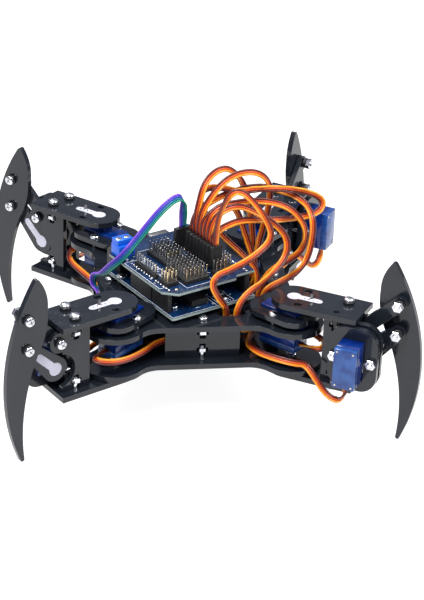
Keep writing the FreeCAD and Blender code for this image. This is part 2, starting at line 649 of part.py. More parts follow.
# ---------------------------------------------------------------- cables
# Corner points of each ribbon's route in the chassis frame, from its plug to where it ends. A leg's
# ribbon goes on along LEG_RUN, in the leg frame, to the case of the leg servo.
LEG_RUN = ((8, -12.5, 40.5), (14, -15, 43), (20.5, -17.5, 38), (27, -19.5, 31.5), (34, -21, 29),
           (39, -21.5, 33.5), (39, -21.5, 40.05))
CABLES = {
    "front_left_leg": (
        (4.2, -17.5, 90.4), (4.2, -17.5, 98.5), (9, -14.5, 107), (25.5, -12, 110), (39, -12, 109),
        (50, -13, 105.5), (57.5, -13.5, 97), (60, -13, 88), (57, -11.5, 76.5), (42, -11, 68),
        (36, -11.5, 58), (35, -12, 48.5), (24, -15, 41.5), (12, -18.5, 41.5), (-8, -20, 41),
        (-26, -22, 41), (-42, -27.5, 40.5), (-55.5, -37.5, 40.5)),
    "front_right_leg": (
        (-1.6, -6.1, 90.4), (-1.6, -6.1, 99.5), (10, -3, 107), (24, 2, 110), (34, 7, 109.5),
        (45, 8.5, 107.5), (59.5, 3, 103.5), (63.5, -10.5, 98.5), (63.5, -12, 85.5), (60, -16, 74),
        (53, -18, 67), (37, -19.5, 60), (36, -19, 52), (33, -26, 43.5), (28, -36, 41.5),
        (24.5, -45, 41.5), (28, -55, 41.5), (38, -63, 41)),
    "rear_right_leg": (
        (-0.2, -8.9, 90.4), (-0.2, -8.9, 99.5), (1, -9, 106.5), (4, -5, 117), (11, 0, 122.5),
        (19, 4, 122), (27, 10, 111.5), (31, 15.5, 100), (34.5, 18, 84), (36, 18.5, 70),
        (36, 18.5, 58), (36.5, 19, 50), (39, 23.5, 43), (46, 29.5, 41), (56, 41.5, 41)),
    "rear_left_leg": (
        (2.7, -14.6, 90.4), (2.7, -14.6, 98.5), (8, -12.5, 104), (14.5, -6, 104.5),
        (20, 2.5, 101.5), (26, 9, 92), (31, 9, 76), (35, 4.5, 65), (36, 4, 56), (34, 6, 48),
        (24, 13, 42.5), (8, 22, 41), (-10, 33, 41), (-23, 44, 41), (-28, 55, 41), (-36, 63, 41)),
    "front_left_hip": (
        (8.5, -26, 90.4), (8.5, -26, 97.5), (9.5, -27, 108.5), (14.5, -27.5, 121),
        (20.5, -28.5, 123), (27.5, -29, 116.5), (36, -31, 104.5), (37.5, -33, 96),
        (26.5, -37, 87.5), (14, -43, 84), (6.5, -47, 83), (4, -49, 78.5), (7, -49, 72),
        (11, -46.5, 65.5), (13, -44, 60.5), (13, -43, 53), (4, -43.5, 46.5), (-10, -43.5, 45.5),
        (-24, -46.5, 44.5), (-31, -56, 44.5), (-40.5, -64.5, 44.5), (-48.5, -68.5, 45),
        (-56.5, -69, 46), (-59.5, -65, 46.5), (-51.5, -57.1, 46.3)),
    "front_right_hip": (
        (5.6, -20.3, 90.4), (5.6, -20.3, 98.5), (12, -18, 107), (22, -18, 110),
        (33.5, -19.5, 104.5), (45, -22, 96.5), (48, -25, 89), (45, -29, 81.5), (34.5, -36, 74),
        (23, -41, 68), (18.5, -44, 61), (19, -42.5, 52), (23, -41, 46.5), (33, -34, 46.5),
        (44, -32.5, 46.5), (53.5, -38.5, 46.5), (60.5, -46.5, 46.5), (64, -54, 46.5),
        (63, -62, 46.5), (59, -64.5, 46.5), (51.5, -57.1, 46.3)),
    "rear_right_hip": (
        (1.3, -11.8, 90.4), (1.3, -11.8, 99.5), (5.5, -10, 108.5), (13.5, -7, 118.5),
        (23.5, -3.5, 122.5), (34, 0, 121), (41.5, 3.5, 113), (42, 6, 100), (40, 9.5, 84),
        (37, 11, 70), (36, 11.5, 58), (35, 12, 50.5), (30, 20, 47), (25, 32, 46.5), (25, 44, 46.5),
        (30.5, 56, 46), (40.5, 64.5, 46), (48.5, 68.5, 46), (56.5, 69, 46.5), (59.5, 65, 46.5),
        (51.5, 57.1, 46.3)),
    "rear_left_hip": (
        (7.1, -23.2, 90.4), (7.1, -23.2, 96.5), (20, -19.5, 101.5), (30.5, -17.5, 101),
        (44.5, -13, 98.5), (58.5, -7, 97), (68, -1.5, 97), (71, 1, 101.5), (68, 2.5, 105),
        (59.5, 2, 108.5), (46.5, 1, 110.5), (34, -1, 111.5), (23, -2.5, 110.5), (13, -1.5, 113.5),
        (5, 4, 110), (3.5, 10, 101), (8, 12, 90), (16.5, 8, 80), (26, 2.5, 72.5), (34, -2.5, 66),
        (36, -4, 58), (34, -4.5, 50.5), (22, -5.5, 47), (2, -8, 46), (-18, -11, 46),
        (-36, -16, 45.5), (-41, -23.5, 45.5), (-46.5, -25.5, 45.5), (-50, -20, 45.5),
        (-50, -7, 45.5), (-49.5, 7, 45), (-52, 22, 45.5), (-58, 35, 46), (-63, 45, 46.5),
        (-64.5, 54.5, 46.5), (-63, 62, 46.5), (-59, 64.5, 46.5), (-51.5, 57.1, 46.3)),
    "jumper": (
        (-6.4, -2.1, 90.4), (-6.4, -2.1, 98.5), (-6.2, -2.5, 107), (-10.5, -6.5, 110.5),
        (-19.5, -9.5, 104), (-30.5, -12.5, 90.5), (-40.5, -17, 80), (-47, -12.5, 72), (-50, -4.5, 64),
        (-54.3, 2, 61.5), (-54.3, 4, 52.8), (-50, -2, 51.2), (-50, -11, 50.5), (-50, -20, 50.5),
        (-46.5, -25.5, 51), (-41, -23.5, 51.5), (-36, -18, 52), (-33.5, -9, 53.5), (-33.5, -9, 46.1)),
}


def route_points(key):
    points = [V(*p) for p in CABLES[key]]
    side = key[:-4]
    if key == side + "_leg" and side in LEGS:
        sx, sy, yaw = LEGS[side]
        turn = FreeCAD.Rotation(V(0, 0, 1), yaw)
        points += [V(sx * S.hip_x, sy * S.hip_y, 0) + turn.multVec(V(*p)) for p in LEG_RUN]
    return points


def cable(points):
    """Round tube along straight runs joined by tangent arcs, with its length and tightest radius."""
    starts, ends, bends, radii = [points[0]], [points[0]], [None], []
    for before, corner, after in zip(points, points[1:], points[2:]):
        back, ahead = before - corner, after - corner
        reach = 0.45 * min(back.Length, ahead.Length)
        back.normalize()
        ahead.normalize()
        half = back.getAngle(ahead) / 2
        radius = reach * math.tan(half)
        inward = (back + ahead).normalize()
        starts.append(corner + back * reach)
        ends.append(corner + ahead * reach)
        bends.append(corner + inward * (radius / math.sin(half) - radius))
        radii.append(radius)
    edges = []
    for i in range(1, len(starts)):
        edges.append(Part.LineSegment(ends[i - 1], starts[i]).toShape())
        edges.append(Part.Arc(starts[i], bends[i], ends[i]).toShape())
    edges.append(Part.LineSegment(ends[-1], points[-1]).toShape())
    path = Part.Wire(edges)
    ring = Part.Wire([Part.makeCircle(S.cable_rad, points[0], points[1] - points[0])])
    tube = path.makePipeShell([ring], True, False)
    expected = math.pi * S.cable_rad ** 2 * path.Length
    if abs(tube.Volume / expected - 1) > 0.01:
        raise RuntimeError("the tube's volume is off by %.3f" % (tube.Volume / expected - 1))
    return tube, path.Length, min(radii)


def cable_piece(key):
    piece = doc.addObject("Part::Feature", name("cable"))
    piece.Shape, length, radius = cable(route_points(key))
    print("cable %s: length %.1f, tightest radius %.1f" % (key, length, radius))
    return piece


# ---------------------------------------------------------------- the document's nodes
NODES = []


def node(label, piece):
    piece.Label = label
    NODES.append(piece)


def in_chassis(label, piece):
    """A root piece, moved from the chassis frame to the part's frame."""
    node(label, put(group(piece), "centre_x", "centre_y", 0))


lower, upper, walls, servos, clamps = chassis()
in_chassis("lower_chassis_plate", lower)
in_chassis("upper_chassis_plate", upper)
in_chassis("chassis_walls", group(*walls))
in_chassis("hip_servos", group(*servos))
in_chassis("hip_servo_clamps", group(*clamps))
in_chassis("chassis_fasteners", group(*chassis_bolts(), board_standoffs()))
in_chassis("controller_board", board_place(group(main_board()), "main_z"))
in_chassis("sensor_shield", board_place(group(shield_board()), "shield_z"))
in_chassis("pin_headers", board_place(pin_headers(), "shield_z + board_t"))
in_chassis("servo_plugs", board_place(servo_plugs(), "shield_z + board_t"))
in_chassis("radio_module", radio_module())

for stem, make in LEG_PIECES.items():
    pattern = make()
    odd_pattern = make(far_top=False) if make is hip_bolts else pattern
    for side, (sx, sy, yaw) in LEGS.items():
        piece = group(odd_pattern if side == "front_right" else pattern)
        put(piece, "centre_x + %d * hip_x" % sx, "centre_y + %d * hip_y" % sy, 0, ((0, 0, 1), yaw))
        node("%s_%s" % (side, stem), piece)

for side in LEGS:
    in_chassis(side + "_leg_cable", cable_piece(side + "_leg"))
in_chassis("chassis_cables", group(*[cable_piece(side + "_hip") for side in LEGS], cable_piece("jumper")))

doc.recompute()

# ---------------------------------------------------------------- check and write
bad = [o.Label for o in doc.Objects if {"Invalid", "Error"} & set(o.State)]
if bad:
    raise RuntimeError("these objects failed: %s" % ", ".join(bad))
os.makedirs("parts", exist_ok=True)
for old in os.listdir("parts"):
    os.remove(os.path.join("parts", old))
whole = FreeCAD.BoundBox()
for piece in NODES:
    shape = piece.Shape
    if shape.isNull() or not shape.isValid():
        raise RuntimeError("bad shape: " + piece.Label)
    if "cable" not in piece.Label:
        whole.add(shape.BoundBox)
    shape.exportStep(os.path.join("parts", piece.Label + ".step"))
print("nodes", len(NODES), "box", whole)
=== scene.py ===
"""Looks of a four-legged walking robot: glossy sheet plates, blue micro servos, stacked boards, ribbons.

Every piece is drawn in millimetres in its own frame (chassis, leg, servo or board) and placed by
one matrix, so it sits where the CAD part sits. The frame is +Z up, front towards -Y.
"""
import bpy
import bmesh
import math
import random
from mathutils import Matrix, Vector


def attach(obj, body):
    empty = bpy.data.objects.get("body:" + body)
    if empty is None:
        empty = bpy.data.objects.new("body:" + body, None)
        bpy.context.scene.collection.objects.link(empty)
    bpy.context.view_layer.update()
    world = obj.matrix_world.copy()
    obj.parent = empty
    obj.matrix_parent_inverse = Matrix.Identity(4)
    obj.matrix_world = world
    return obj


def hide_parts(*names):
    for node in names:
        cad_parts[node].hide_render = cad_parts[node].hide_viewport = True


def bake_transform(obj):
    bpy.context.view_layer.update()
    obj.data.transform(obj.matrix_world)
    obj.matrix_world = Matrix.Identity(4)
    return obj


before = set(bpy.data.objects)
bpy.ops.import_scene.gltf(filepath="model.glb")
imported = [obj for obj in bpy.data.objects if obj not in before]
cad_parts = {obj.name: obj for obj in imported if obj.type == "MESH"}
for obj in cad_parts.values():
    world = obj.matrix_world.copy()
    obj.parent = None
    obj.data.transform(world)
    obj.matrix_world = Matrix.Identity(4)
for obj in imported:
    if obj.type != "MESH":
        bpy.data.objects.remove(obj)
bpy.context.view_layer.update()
MM = 0.001
UP = Vector((0, 0, 1))

# ---------------------------------------------------------------- sizes shared with the part, in mm
CENTRE = Vector((-2.489, -8.579, 0))
HIP_X, HIP_Y = 47.3, 52.9
SHEET = 3.0
LOWER_Z, UPPER_Z, DECK_Z = 33.3, 55.5, 58.5
TOP_Z, FLOOR_Z = 70.0, 33.0                       # inner faces of a leg's two hip plates
NEAR_N, FAR_N, ARM_N = 7.0, -5.2, 3.6             # front faces of side plates and arms
NEAR_BOLT_U, FAR_BOLT_U = 28.5, 26.3
LIFT_U, LIFT_Z, LINK_DU, LINK_DZ = 39.0, 46.0, -0.4, 16.8
ARM_LEN, REST_LIFT = 26.6, 44.5
CASE_L, CASE_W, CASE_DEEP, EAR_L, EAR_T, EAR_AT = 22.8, 12.2, 22.7, 32.2, 2.5, 15.9
AXIS_OFF, BOSS_RAD, BOSS_DEEP, CLAMP_BOLT = 5.5, 5.9, 4.4, 10.3
HEAD_RAD, HEAD_T, BOLT_RAD, SPACER_RAD, SPACER_T, NUT_RAD, NUT_T = 2.8, 1.9, 1.5, 3.0, 1.5, 3.1, 2.3
BOARD_AT, BOARD_TURN, BOARD_T = Vector((-8.9, -13.6, 0)), 27.0, 1.6
MAIN_W, MAIN_L, MAIN_Z = 53.4, 68.6, 61.5
SHIELD_W, SHIELD_L, SHIELD_Z = 57.0, 65.0, 74.3
PITCH = 2.54
BOARD_POSTS = ((-24.1, 20.3), (24.1, 19.4), (-19.0, -23.5), (8.9, -29.0))
LEGS = {"front_left": (-1, -1, 210.0), "front_right": (1, -1, 329.0),
        "rear_right": (1, 1, 57.0), "rear_left": (-1, 1, 139.0)}

# ---------------------------------------------------------------- camera
EYE = Vector((-127.98, -949.13, 542.66))          # from the chassis' middle, in mm
RIGHT = Vector((0.99126, -0.12703, 0.03547))
LOOK = Vector((0.12900, 0.87789, -0.46116))
LENS, SENSOR_WIDTH = 165.7, 36.0


def make_camera():
    data = bpy.data.cameras.new("camera")
    data.lens = LENS
    data.sensor_width = SENSOR_WIDTH
    data.sensor_fit = "HORIZONTAL"
    data.clip_start, data.clip_end = 0.05, 20
    camera = bpy.data.objects.new("camera", data)
    bpy.context.scene.collection.objects.link(camera)
    back = -LOOK.normalized()
    right = (RIGHT - back * RIGHT.dot(back)).normalized()
    turn = Matrix((right, back.cross(right), back)).transposed().to_4x4()
    camera.matrix_world = Matrix.Translation((CENTRE + EYE) * MM) @ turn
    bpy.context.scene.camera = camera


make_camera()

# ---------------------------------------------------------------- places


def turn_z(degrees):
    return Matrix.Rotation(math.radians(degrees), 4, "Z")


CHASSIS = Matrix.Translation(CENTRE)


def hip_place(side):
    sx, sy, _ = LEGS[side]
    return CHASSIS @ Matrix.Translation((sx * HIP_X, sy * HIP_Y, 0))


def leg_place(side):
    """The leg frame: X out along the leg, Y to its arm side, origin under the hip axis."""
    return hip_place(side) @ turn_z(LEGS[side][2])


def outward_place(side):
    """Frame at a hip axis with X pointing away from the chassis' middle."""
    sx, sy, _ = LEGS[side]
    return hip_place(side) @ turn_z(math.degrees(math.atan2(sy, sx)))


def board_place(z):
    return CHASSIS @ Matrix.Translation(BOARD_AT + UP * z) @ turn_z(BOARD_TURN)


# ---------------------------------------------------------------- materials
def new_material(name):
    material = bpy.data.materials.new(name)
    material.use_nodes = True
    tree = material.node_tree
    return material, tree, tree.nodes["Principled BSDF"]


def noise_of(tree, scale, detail=4.0, rough=0.55, stretch=None):
    """Noise in object space, with the scale counted in features per metre."""
    place = tree.nodes.new("ShaderNodeTexCoord")
    source = place.outputs["Object"]
    if stretch:
        mapping = tree.nodes.new("ShaderNodeMapping")
        mapping.inputs["Scale"].default_value = stretch
        tree.links.new(source, mapping.inputs["Vector"])
        source = mapping.outputs["Vector"]
    noise = tree.nodes.new("ShaderNodeTexNoise")
    noise.inputs["Scale"].default_value = scale
    noise.inputs["Detail"].default_value = detail
    noise.inputs["Roughness"].default_value = rough
    tree.links.new(source, noise.inputs["Vector"])
    return noise.outputs["Fac"]


def spread(tree, value, low, high, to_low, to_high):
    node = tree.nodes.new("ShaderNodeMapRange")
    node.inputs["From Min"].default_value = low
    node.inputs["From Max"].default_value = high
    node.inputs["To Min"].default_value = to_low
    node.inputs["To Max"].default_value = to_high
    tree.links.new(value, node.inputs["Value"])
    return node.outputs["Result"]


def mix(tree, factor, first, second):
    """Colour mix; first and second are colours or sockets."""
    node = tree.nodes.new("ShaderNodeMix")
    node.data_type = "RGBA"
    tree.links.new(factor, node.inputs[0])
    for socket, value in ((node.inputs[6], first), (node.inputs[7], second)):
        if isinstance(value, bpy.types.NodeSocket):
            tree.links.new(value, socket)
        else:
            socket.default_value = (*value, 1)
    return node.outputs[2]


def bump(tree, shader, height, distance, strength=1.0):
    node = tree.nodes.new("ShaderNodeBump")
    node.inputs["Distance"].default_value = distance
    node.inputs["Strength"].default_value = strength
    tree.links.new(height, node.inputs["Height"])
    tree.links.new(node.outputs["Normal"], shader.inputs["Normal"])
    return node


def surface(name, colour, rough, metal=0.0, tint=None, scale=60.0, grain=900.0, depth=0.00001, coat=0.0,
            glow=0.0):
    """Plain surface with slow colour change, uneven gloss and a fine grain."""
    material, tree, shader = new_material(name)
    slow = noise_of(tree, scale)
    shader.inputs["Metallic"].default_value = metal
    tree.links.new(mix(tree, spread(tree, slow, 0.35, 0.65, 0, 1), colour, tint or colour),
                   shader.inputs["Base Color"])
    fine = noise_of(tree, grain, 2.0)
    tree.links.new(spread(tree, fine, 0.3, 0.7, rough * 0.75, min(1.0, rough * 1.3)),
                   shader.inputs["Roughness"])
    if depth:
        bump(tree, shader, fine, depth)
    shader.inputs["Coat Weight"].default_value = coat
    shader.inputs["Coat Roughness"].default_value = 0.08
    shader.inputs["Subsurface Weight"].default_value = glow
    shader.inputs["Subsurface Radius"].default_value = (0.3, 0.5, 1.0)
    shader.inputs["Subsurface Scale"].default_value = 0.004
    return material


def acrylic():
    """Glossy near-black sheet with a faint film, dust specks and fine scratches."""
    material, tree, shader = new_material("acrylic")
    film = spread(tree, noise_of(tree, 55.0, 5.0), 0.35, 0.75, 0, 1)
    dust = spread(tree, noise_of(tree, 1500.0, 3.0, 0.7), 0.67, 0.74, 0, 1)
    face = mix(tree, film, (0.0085, 0.0105, 0.0150), (0.014, 0.0170, 0.0235))
    face = mix(tree, dust, face, (0.05, 0.05, 0.055))
    tree.links.new(face, shader.inputs["Base Color"])
    scratch = noise_of(tree, 90.0, 6.0, 0.7, (1.0, 9.0, 3.0))
    tree.links.new(spread(tree, scratch, 0.45, 0.8, 0.07, 0.30), shader.inputs["Roughness"])
    shader.inputs["IOR"].default_value = 1.49
    soft = tree.nodes.new("ShaderNodeBevel")
    soft.samples = 4
    soft.inputs["Radius"].default_value = 0.00025
    wave = bump(tree, shader, noise_of(tree, 14.0, 2.0), 0.0001, 0.3)
    tree.links.new(soft.outputs["Normal"], wave.inputs["Normal"])
    return material


M = {
    "servo_blue": surface("servo_blue", (0.001, 0.012, 0.11), 0.16, tint=(0.002, 0.030, 0.20), scale=60,
                          coat=0.2),
    "servo_cap": surface("servo_cap", (0.003, 0.030, 0.17), 0.22, tint=(0.020, 0.085, 0.30), scale=170,
                         coat=0.15, glow=0.05),
    # Slightly darker blue for the case's seams, and painted shade in the ear holes, the base's screw pockets
    # and the horn's small holes.
    "servo_seam_and_hole_shade": surface("servo_seam_and_hole_shade", (0.004, 0.012, 0.10), 0.25),
    "nylon": surface("nylon", (0.46, 0.46, 0.55), 0.42, tint=(0.56, 0.55, 0.64), glow=0.05),
    "zinc": surface("zinc", (0.78, 0.79, 0.82), 0.18, metal=1.0, tint=(0.62, 0.63, 0.68), scale=300,
                    depth=0.00002),
    # Painted shade: dark metal laid where a screw's cross recess or slot would be shaded zinc.
    "recess_shade": surface("recess_shade", (0.10, 0.10, 0.11), 0.4, metal=0.8),
    "spacer": surface("spacer", (0.007, 0.007, 0.008), 0.4, tint=(0.012, 0.012, 0.014)),
    "mask": surface("mask", (0.002, 0.012, 0.045), 0.22, tint=(0.004, 0.028, 0.095), scale=130, coat=0.1),
    "board_edge": surface("board_edge", (0.20, 0.26, 0.25), 0.5, tint=(0.30, 0.36, 0.33), scale=400),
    "ink": surface("ink", (0.85, 0.88, 0.92), 0.5),
    "gold": surface("gold", (0.90, 0.72, 0.42), 0.2, metal=1.0, tint=(0.75, 0.62, 0.42), scale=500),
    "tin": surface("tin", (0.60, 0.59, 0.57), 0.26, metal=1.0, tint=(0.40, 0.39, 0.38), scale=400),
    "moulding": surface("moulding", (0.005, 0.005, 0.006), 0.5, tint=(0.010, 0.010, 0.011)),
    "terminal_blue": surface("terminal_blue", (0.004, 0.10, 0.62), 0.33, tint=(0.006, 0.13, 0.72)),
    "chip": surface("chip", (0.014, 0.014, 0.015), 0.45),
    "orange": surface("orange", (0.80, 0.235, 0.010), 0.3, tint=(0.88, 0.32, 0.018), scale=90, glow=0.05),
    "red": surface("red", (0.50, 0.055, 0.010), 0.32, tint=(0.60, 0.085, 0.012), scale=90),
    "brown": surface("brown", (0.085, 0.012, 0.010), 0.3, tint=(0.13, 0.02, 0.015), scale=90),
    "purple": surface("purple", (0.15, 0.045, 0.50), 0.32, tint=(0.22, 0.08, 0.58), scale=90),
    "blue_wire": surface("blue_wire", (0.04, 0.05, 0.42), 0.34),
    "green": surface("green", (0.01, 0.20, 0.13), 0.34, tint=(0.015, 0.26, 0.16), scale=90),
    "teal": surface("teal", (0.008, 0.13, 0.26), 0.34),
}


# ---------------------------------------------------------------- mesh drawing
class Drawing:
    """Collects solids in mm and becomes one object with several materials."""

    def __init__(self, name):
        self.name = name
        self.bm = bmesh.new()
        self.slots = []

    def slot(self, key):
        if key not in self.slots:
            self.slots.append(key)
        return self.slots.index(key)

    def take(self, part, place, key):
        """Move a scratch bmesh into the drawing."""
        index = self.slot(key)
        for face in part.faces:
            face.material_index = index
        part.transform(place)
        if place.determinant() < 0:
            bmesh.ops.reverse_faces(part, faces=part.faces)
        mesh = bpy.data.meshes.new("scratch")
        part.to_mesh(mesh)
        part.free()
        self.bm.from_mesh(mesh)
        bpy.data.meshes.remove(mesh)

    def box(self, low, high, key, place=Matrix(), bevel=0.0, segments=2):
        part = bmesh.new()
        bmesh.ops.create_cube(part, size=1.0)
        low, high = Vector(low), Vector(high)
        for vert in part.verts:
            vert.co = Vector([(low[i] + high[i]) / 2 + vert.co[i] * (high[i] - low[i]) for i in range(3)])
        if bevel:
            bmesh.ops.bevel(part, geom=part.edges[:], offset=bevel, segments=segments, profile=0.5,
                            affect="EDGES")
        self.take(part, place, key)

    def lathe(self, profile, key, place=Matrix(), steps=32, turn=0.0):
        """Turn (radius, height) points about Z; the ends are closed."""
        part = bmesh.new()
        rings = []
        for radius, height in profile:
            rings.append([part.verts.new((radius * math.cos(turn + math.tau * i / steps),
                                          radius * math.sin(turn + math.tau * i / steps), height))
                          for i in range(steps)])
        for lower, upper in zip(rings, rings[1:]):
            for i in range(steps):
                j = (i + 1) % steps
                part.faces.new((lower[i], lower[j], upper[j], upper[i]))
        part.faces.new(rings[0][::-1])
        part.faces.new(rings[-1])
        self.take(part, place, key)

    def prism(self, outline, low, high, key, place=Matrix(), bevel=0.0):
        """Extrude a closed (x, y) outline, drawn anticlockwise, between two heights."""
        part = bmesh.new()
        bottom = [part.verts.new((x, y, low)) for x, y in outline]
        top = [part.verts.new((x, y, high)) for x, y in outline]
        part.faces.new(bottom[::-1])
        part.faces.new(top)
        for i in range(len(outline)):
            j = (i + 1) % len(outline)
            part.faces.new((bottom[i], bottom[j], top[j], top[i]))
        if bevel:
            rim = [e for e in part.edges if abs(e.verts[0].co.z - e.verts[1].co.z) < 1e-6]
            bmesh.ops.bevel(part, geom=rim, offset=bevel, segments=2, profile=0.5, affect="EDGES")
        self.take(part, place, key)

    def done(self, body, replaces=()):
        bmesh.ops.scale(self.bm, vec=(MM, MM, MM), verts=self.bm.verts)
        for edge in self.bm.edges:
            edge.smooth = len(edge.link_faces) == 2 and edge.calc_face_angle(0) < math.radians(38)
        for face in self.bm.faces:
            face.smooth = True
        mesh = bpy.data.meshes.new(self.name)
        self.bm.to_mesh(mesh)
        self.bm.free()
        for key in self.slots:
            mesh.materials.append(M[key])
        piece = bpy.data.objects.new(self.name, mesh)
        bpy.context.scene.collection.objects.link(piece)
        if body:
            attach(piece, body)
        if replaces:
            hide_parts(*replaces)
        return piece


def ring_points(radius, steps, x=0.0, y=0.0, start=0.0, end=360.0):
    """Points of an arc, in degrees; a full turn leaves the last point out."""
    count = steps if abs(end - start) >= 360 else steps + 1
    angles = [math.radians(start + (end - start) * i / steps) for i in range(count)]
    return [(x + radius * math.cos(a), y + radius * math.sin(a)) for a in angles]


def rounded_rectangle(x0, y0, x1, y1, radius, steps=5):
    points = []
    for cx, cy, start in ((x1 - radius, y0 + radius, -90), (x1 - radius, y1 - radius, 0),
                          (x0 + radius, y1 - radius, 90), (x0 + radius, y0 + radius, 180)):
        points += ring_points(radius, steps, cx, cy, start, start + 90)
    return points


# ---------------------------------------------------------------- screws, nuts and spacers
TOWARDS_Y = Matrix.Rotation(math.radians(-90), 4, "X")   # turns +Z to +Y
rng = random.Random(4)


def pan_head(drawing, place):
    """Pan head seated at z = 0; its recessed cross is two dark bars of painted shade laid in the head, which
    has no hole cut.
    """
    drawing.lathe([(HEAD_RAD * 0.96, 0), (HEAD_RAD, 0.25), (HEAD_RAD, 0.75), (HEAD_RAD * 0.93, 1.25),
                   (HEAD_RAD * 0.75, 1.62), (HEAD_RAD * 0.45, 1.84), (0.05, HEAD_T)], "zinc", place, 28)
    cross = place @ turn_z(rng.uniform(0, 90))
    # Painted shade: the two dark bars of the cross.
    for spin in (0, 90):
        drawing.box((-1.35, -0.27, HEAD_T - 0.35), (1.35, 0.27, HEAD_T + 0.02), "recess_shade",
                    cross @ turn_z(spin), 0.08, 1)


def hex_nut(drawing, place):
    drawing.lathe([(NUT_RAD * 0.88, 0), (NUT_RAD, 0.3), (NUT_RAD, NUT_T - 0.3), (NUT_RAD * 0.88, NUT_T)],
                  "zinc", place, 6)


def washer_spacer(drawing, place, length=SPACER_T):
    drawing.lathe([(SPACER_RAD - 0.25, 0), (SPACER_RAD, 0.25), (SPACER_RAD, length - 0.25),
                   (SPACER_RAD - 0.25, length)], "spacer", place, 28)


def bolt(drawing, place, x, y, z, grip, up=True, spacer=True, along_y=False, sleeve=0.0):
    """As the part's bolt: head over a spacer on the face at (x, y, z), nut at the far side of grip."""
    seat = place @ Matrix.Translation((x, y, z))
    if along_y:
        seat = seat @ TOWARDS_Y
    if not up:
        seat = seat @ Matrix.Rotation(math.pi, 4, "X")
    rise = SPACER_T if spacer else 0.0
    pan_head(drawing, seat @ Matrix.Translation((0, 0, rise)))
    drawing.lathe([(BOLT_RAD * 0.8, -grip - NUT_T - 1), (BOLT_RAD, -grip - NUT_T - 0.6), (BOLT_RAD, rise)],
                  "zinc", seat, 16)
    if spacer:
        washer_spacer(drawing, seat)
    if sleeve:
        washer_spacer(drawing, seat @ Matrix.Translation((0, 0, -grip)), sleeve)
    hex_nut(drawing, seat @ Matrix.Translation((0, 0, -grip - NUT_T)))


def chassis_fasteners():
    drawing = Drawing("chassis_screws")
    for x, y, turn in ((0, -50.1, 0), (46.7, 0, 90), (0, 50.1, 180), (-46.7, 0, 270)):
        wall = CHASSIS @ Matrix.Translation((x, y, 0)) @ turn_z(turn)
        bolt(drawing, wall, 0, SHEET / 2, DECK_Z, 6.3, spacer=False)
        bolt(drawing, wall, 0, SHEET / 2, LOWER_Z, 6.3, up=False, spacer=False)
    for side in LEGS:
        for sign in (1, -1):
            bolt(drawing, outward_place(side), -AXIS_OFF, sign * CLAMP_BOLT, DECK_Z + EAR_T + SHEET, 8.5,
                 spacer=False)
    for w, h in BOARD_POSTS:
        post = board_place(0) @ Matrix.Translation((w, h, 0))
        pan_head(drawing, post @ Matrix.Translation((0, 0, MAIN_Z + BOARD_T)))
        drawing.lathe([(BOLT_RAD, UPPER_Z - NUT_T - 0.5), (BOLT_RAD, MAIN_Z + BOARD_T)], "zinc", post, 12)
        drawing.lathe([(2.5, DECK_Z), (2.5, MAIN_Z)], "spacer", post, 20)
        hex_nut(drawing, post @ Matrix.Translation((0, 0, UPPER_Z - NUT_T)))
    drawing.done("chassis", ["chassis_fasteners"])


def hip_fasteners(side):
    drawing = Drawing(side + "_hip_screws")
    leg = leg_place(side)
    for face, u in ((NEAR_N, NEAR_BOLT_U), (FAR_N, FAR_BOLT_U)):
        n = face - SHEET / 2
        if side != "front_right" or face == NEAR_N:
            bolt(drawing, leg, u, n, TOP_Z + SHEET, 6.3)
        bolt(drawing, leg, u, n, FLOOR_Z - SHEET, 6.3, up=False)
    for sign in (1, -1):
        bolt(drawing, leg, LIFT_U + sign * CLAMP_BOLT, FAR_N, LIFT_Z + AXIS_OFF, 8.5, spacer=False,
             along_y=True)
    bolt(drawing, leg, LIFT_U + LINK_DU, NEAR_N, LIFT_Z + LINK_DZ, NEAR_N - ARM_N + SHEET + 0.3,
         along_y=True)
    bolt(drawing, leg, 0, 0, FLOOR_Z - SHEET, 6.6, up=False, spacer=False)
    screw = leg @ Matrix.Translation((0.7 * 13.9, 0, TOP_Z + 2.95))
    drawing.lathe([(1.1, 0), (1.15, 0.3), (0.9, 0.65), (0.4, 0.8)], "zinc", screw, 16)
    drawing.lathe([(0.9, 0), (0.9, 2.4), (0.5, 3.2)], "tin", screw, 12)
    drawing.done(side + "_hip", [side + "_hip_fasteners"])


def foot_place(side):
    reach = ARM_LEN * math.cos(math.radians(REST_LIFT))
    rise = ARM_LEN * math.sin(math.radians(REST_LIFT))
    return leg_place(side) @ Matrix.Translation((LIFT_U + reach, 0, LIFT_Z + rise))


def foot_fasteners(side):
    drawing = Drawing(side + "_foot_screws")
    for u, z in ((0, 0), (LINK_DU, LINK_DZ)):
        bolt(drawing, foot_place(side), u, NEAR_N, z, NEAR_N - ARM_N + SHEET + 2.3, along_y=True)
        ring = foot_place(side) @ Matrix.Translation((u, ARM_N - SHEET - 2.3, z)) @ TOWARDS_Y
        washer_spacer(drawing, ring, 2.0)
    drawing.done(side + "_foot_body", [side + "_foot_fasteners"])


# ---------------------------------------------------------------- servos
LEG_SERVO_TURN = Matrix(((0, -1, 0, 0), (0, 0, 1, 0), (-1, 0, 0, 0), (0, 0, 0, 1)))


